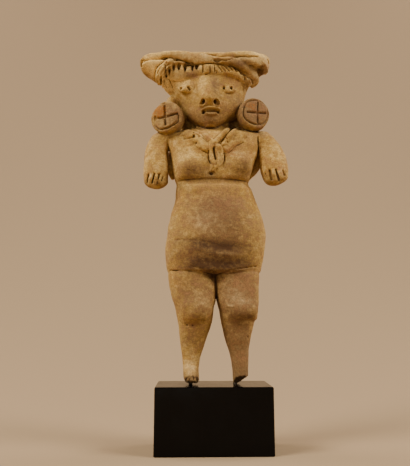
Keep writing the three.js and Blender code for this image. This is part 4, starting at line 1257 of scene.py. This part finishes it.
def figurine_piece():
    """The sculpted clay, in the place of the CAD model's figurine."""
    clay = sculpt()
    points, quads = skin(clay)
    low, high = (np.array(corner) / MM for corner in CAD_BOX)
    figurine = mesh_object("clay_figurine", np.clip(points, low + INSET, high - INSET), quads)
    thin_out(figurine, TRIANGLES)
    colour_marks(clay, figurine)
    figurine.data.materials.append(clay_material())
    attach(figurine, "root")
    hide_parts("figurine")


def finish_mount():
    """Better materials on the CAD model's pins and block."""
    steel, acrylic = steel_material(), acrylic_material()
    for node, material in (("pin_left", steel), ("pin_right", steel), ("block", acrylic)):
        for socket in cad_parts[node].material_slots:
            socket.material = material


def stage():
    """A pale floor that curves up into the backdrop."""
    width, near, far, radius, height, steps = 3.0, -1.2, 0.10, 0.9, 2.4, 24
    profile = [(near, 0.0), (far, 0.0)]
    for k in range(1, steps + 1):
        turn = math.pi / 2 * k / steps
        profile.append((far + radius * math.sin(turn), radius * (1 - math.cos(turn))))
    profile.append((far + radius, height))
    points = [(x, y, z) for y, z in profile for x in (-width, width)]
    faces = [(2 * k, 2 * k + 1, 2 * k + 3, 2 * k + 2) for k in range(len(profile) - 1)]
    mesh = bpy.data.meshes.new("backdrop")
    mesh.from_pydata(points, [], faces)
    mesh.polygons.foreach_set("use_smooth", [True] * len(faces))
    mesh.materials.append(Paint("backdrop").finish(BACKDROP, 0.95))
    floor = put_in_scene("backdrop", mesh)


# The lamps: name, place, target, size, watts and colour
FIGURE = (0, 0, 0.12)
WARM, FILL, WASH = (1.0, 0.94, 0.82), (1.0, 0.95, 0.85), (1.0, 0.92, 0.84)
LAMPS = [
    ("left_softbox", (-0.56, -0.31, 0.6), FIGURE, 0.36, 8.2, WARM),
    ("right_softbox", (0.6, -0.25, 0.55), FIGURE, 0.36, 6.8, WARM),
    ("front_fill", (-0.1, -0.8, 0.12), (0, 0, 0.15), 0.4, 1.2, FILL),
    ("backdrop_wash_left", (-0.95, 0.4, 1.5), (-0.5, 1.0, 0.9), 0.9, 17.0, WASH),
    ("backdrop_wash_right", (0.95, 0.4, 1.5), (0.5, 1.0, 0.9), 0.9, 17.0, WASH),
]
SKY, SKY_STRENGTH = (0.98, 1.0, 1.02, 1), 0.14


def light(name, place, target, size, watts, colour):
    data = bpy.data.lights.new(name, "AREA")
    data.shape = "DISK"
    data.size = size
    data.energy = watts
    data.color = colour
    lamp = put_in_scene(name, data)
    lamp.location = place
    x, y, z = np.array(target) - np.array(place)
    lamp.rotation_euler = (math.atan2(math.hypot(x, y), -z), 0, math.atan2(x, -y) + math.pi)


def sky():
    world = bpy.data.worlds.new("world")
    bpy.context.scene.world = world
    world.use_nodes = True
    background = world.node_tree.nodes["Background"]
    background.inputs["Color"].default_value = SKY
    background.inputs["Strength"].default_value = SKY_STRENGTH


figurine_piece()
finish_mount()
stage()
for lamp in LAMPS:
    light(*lamp)
sky()
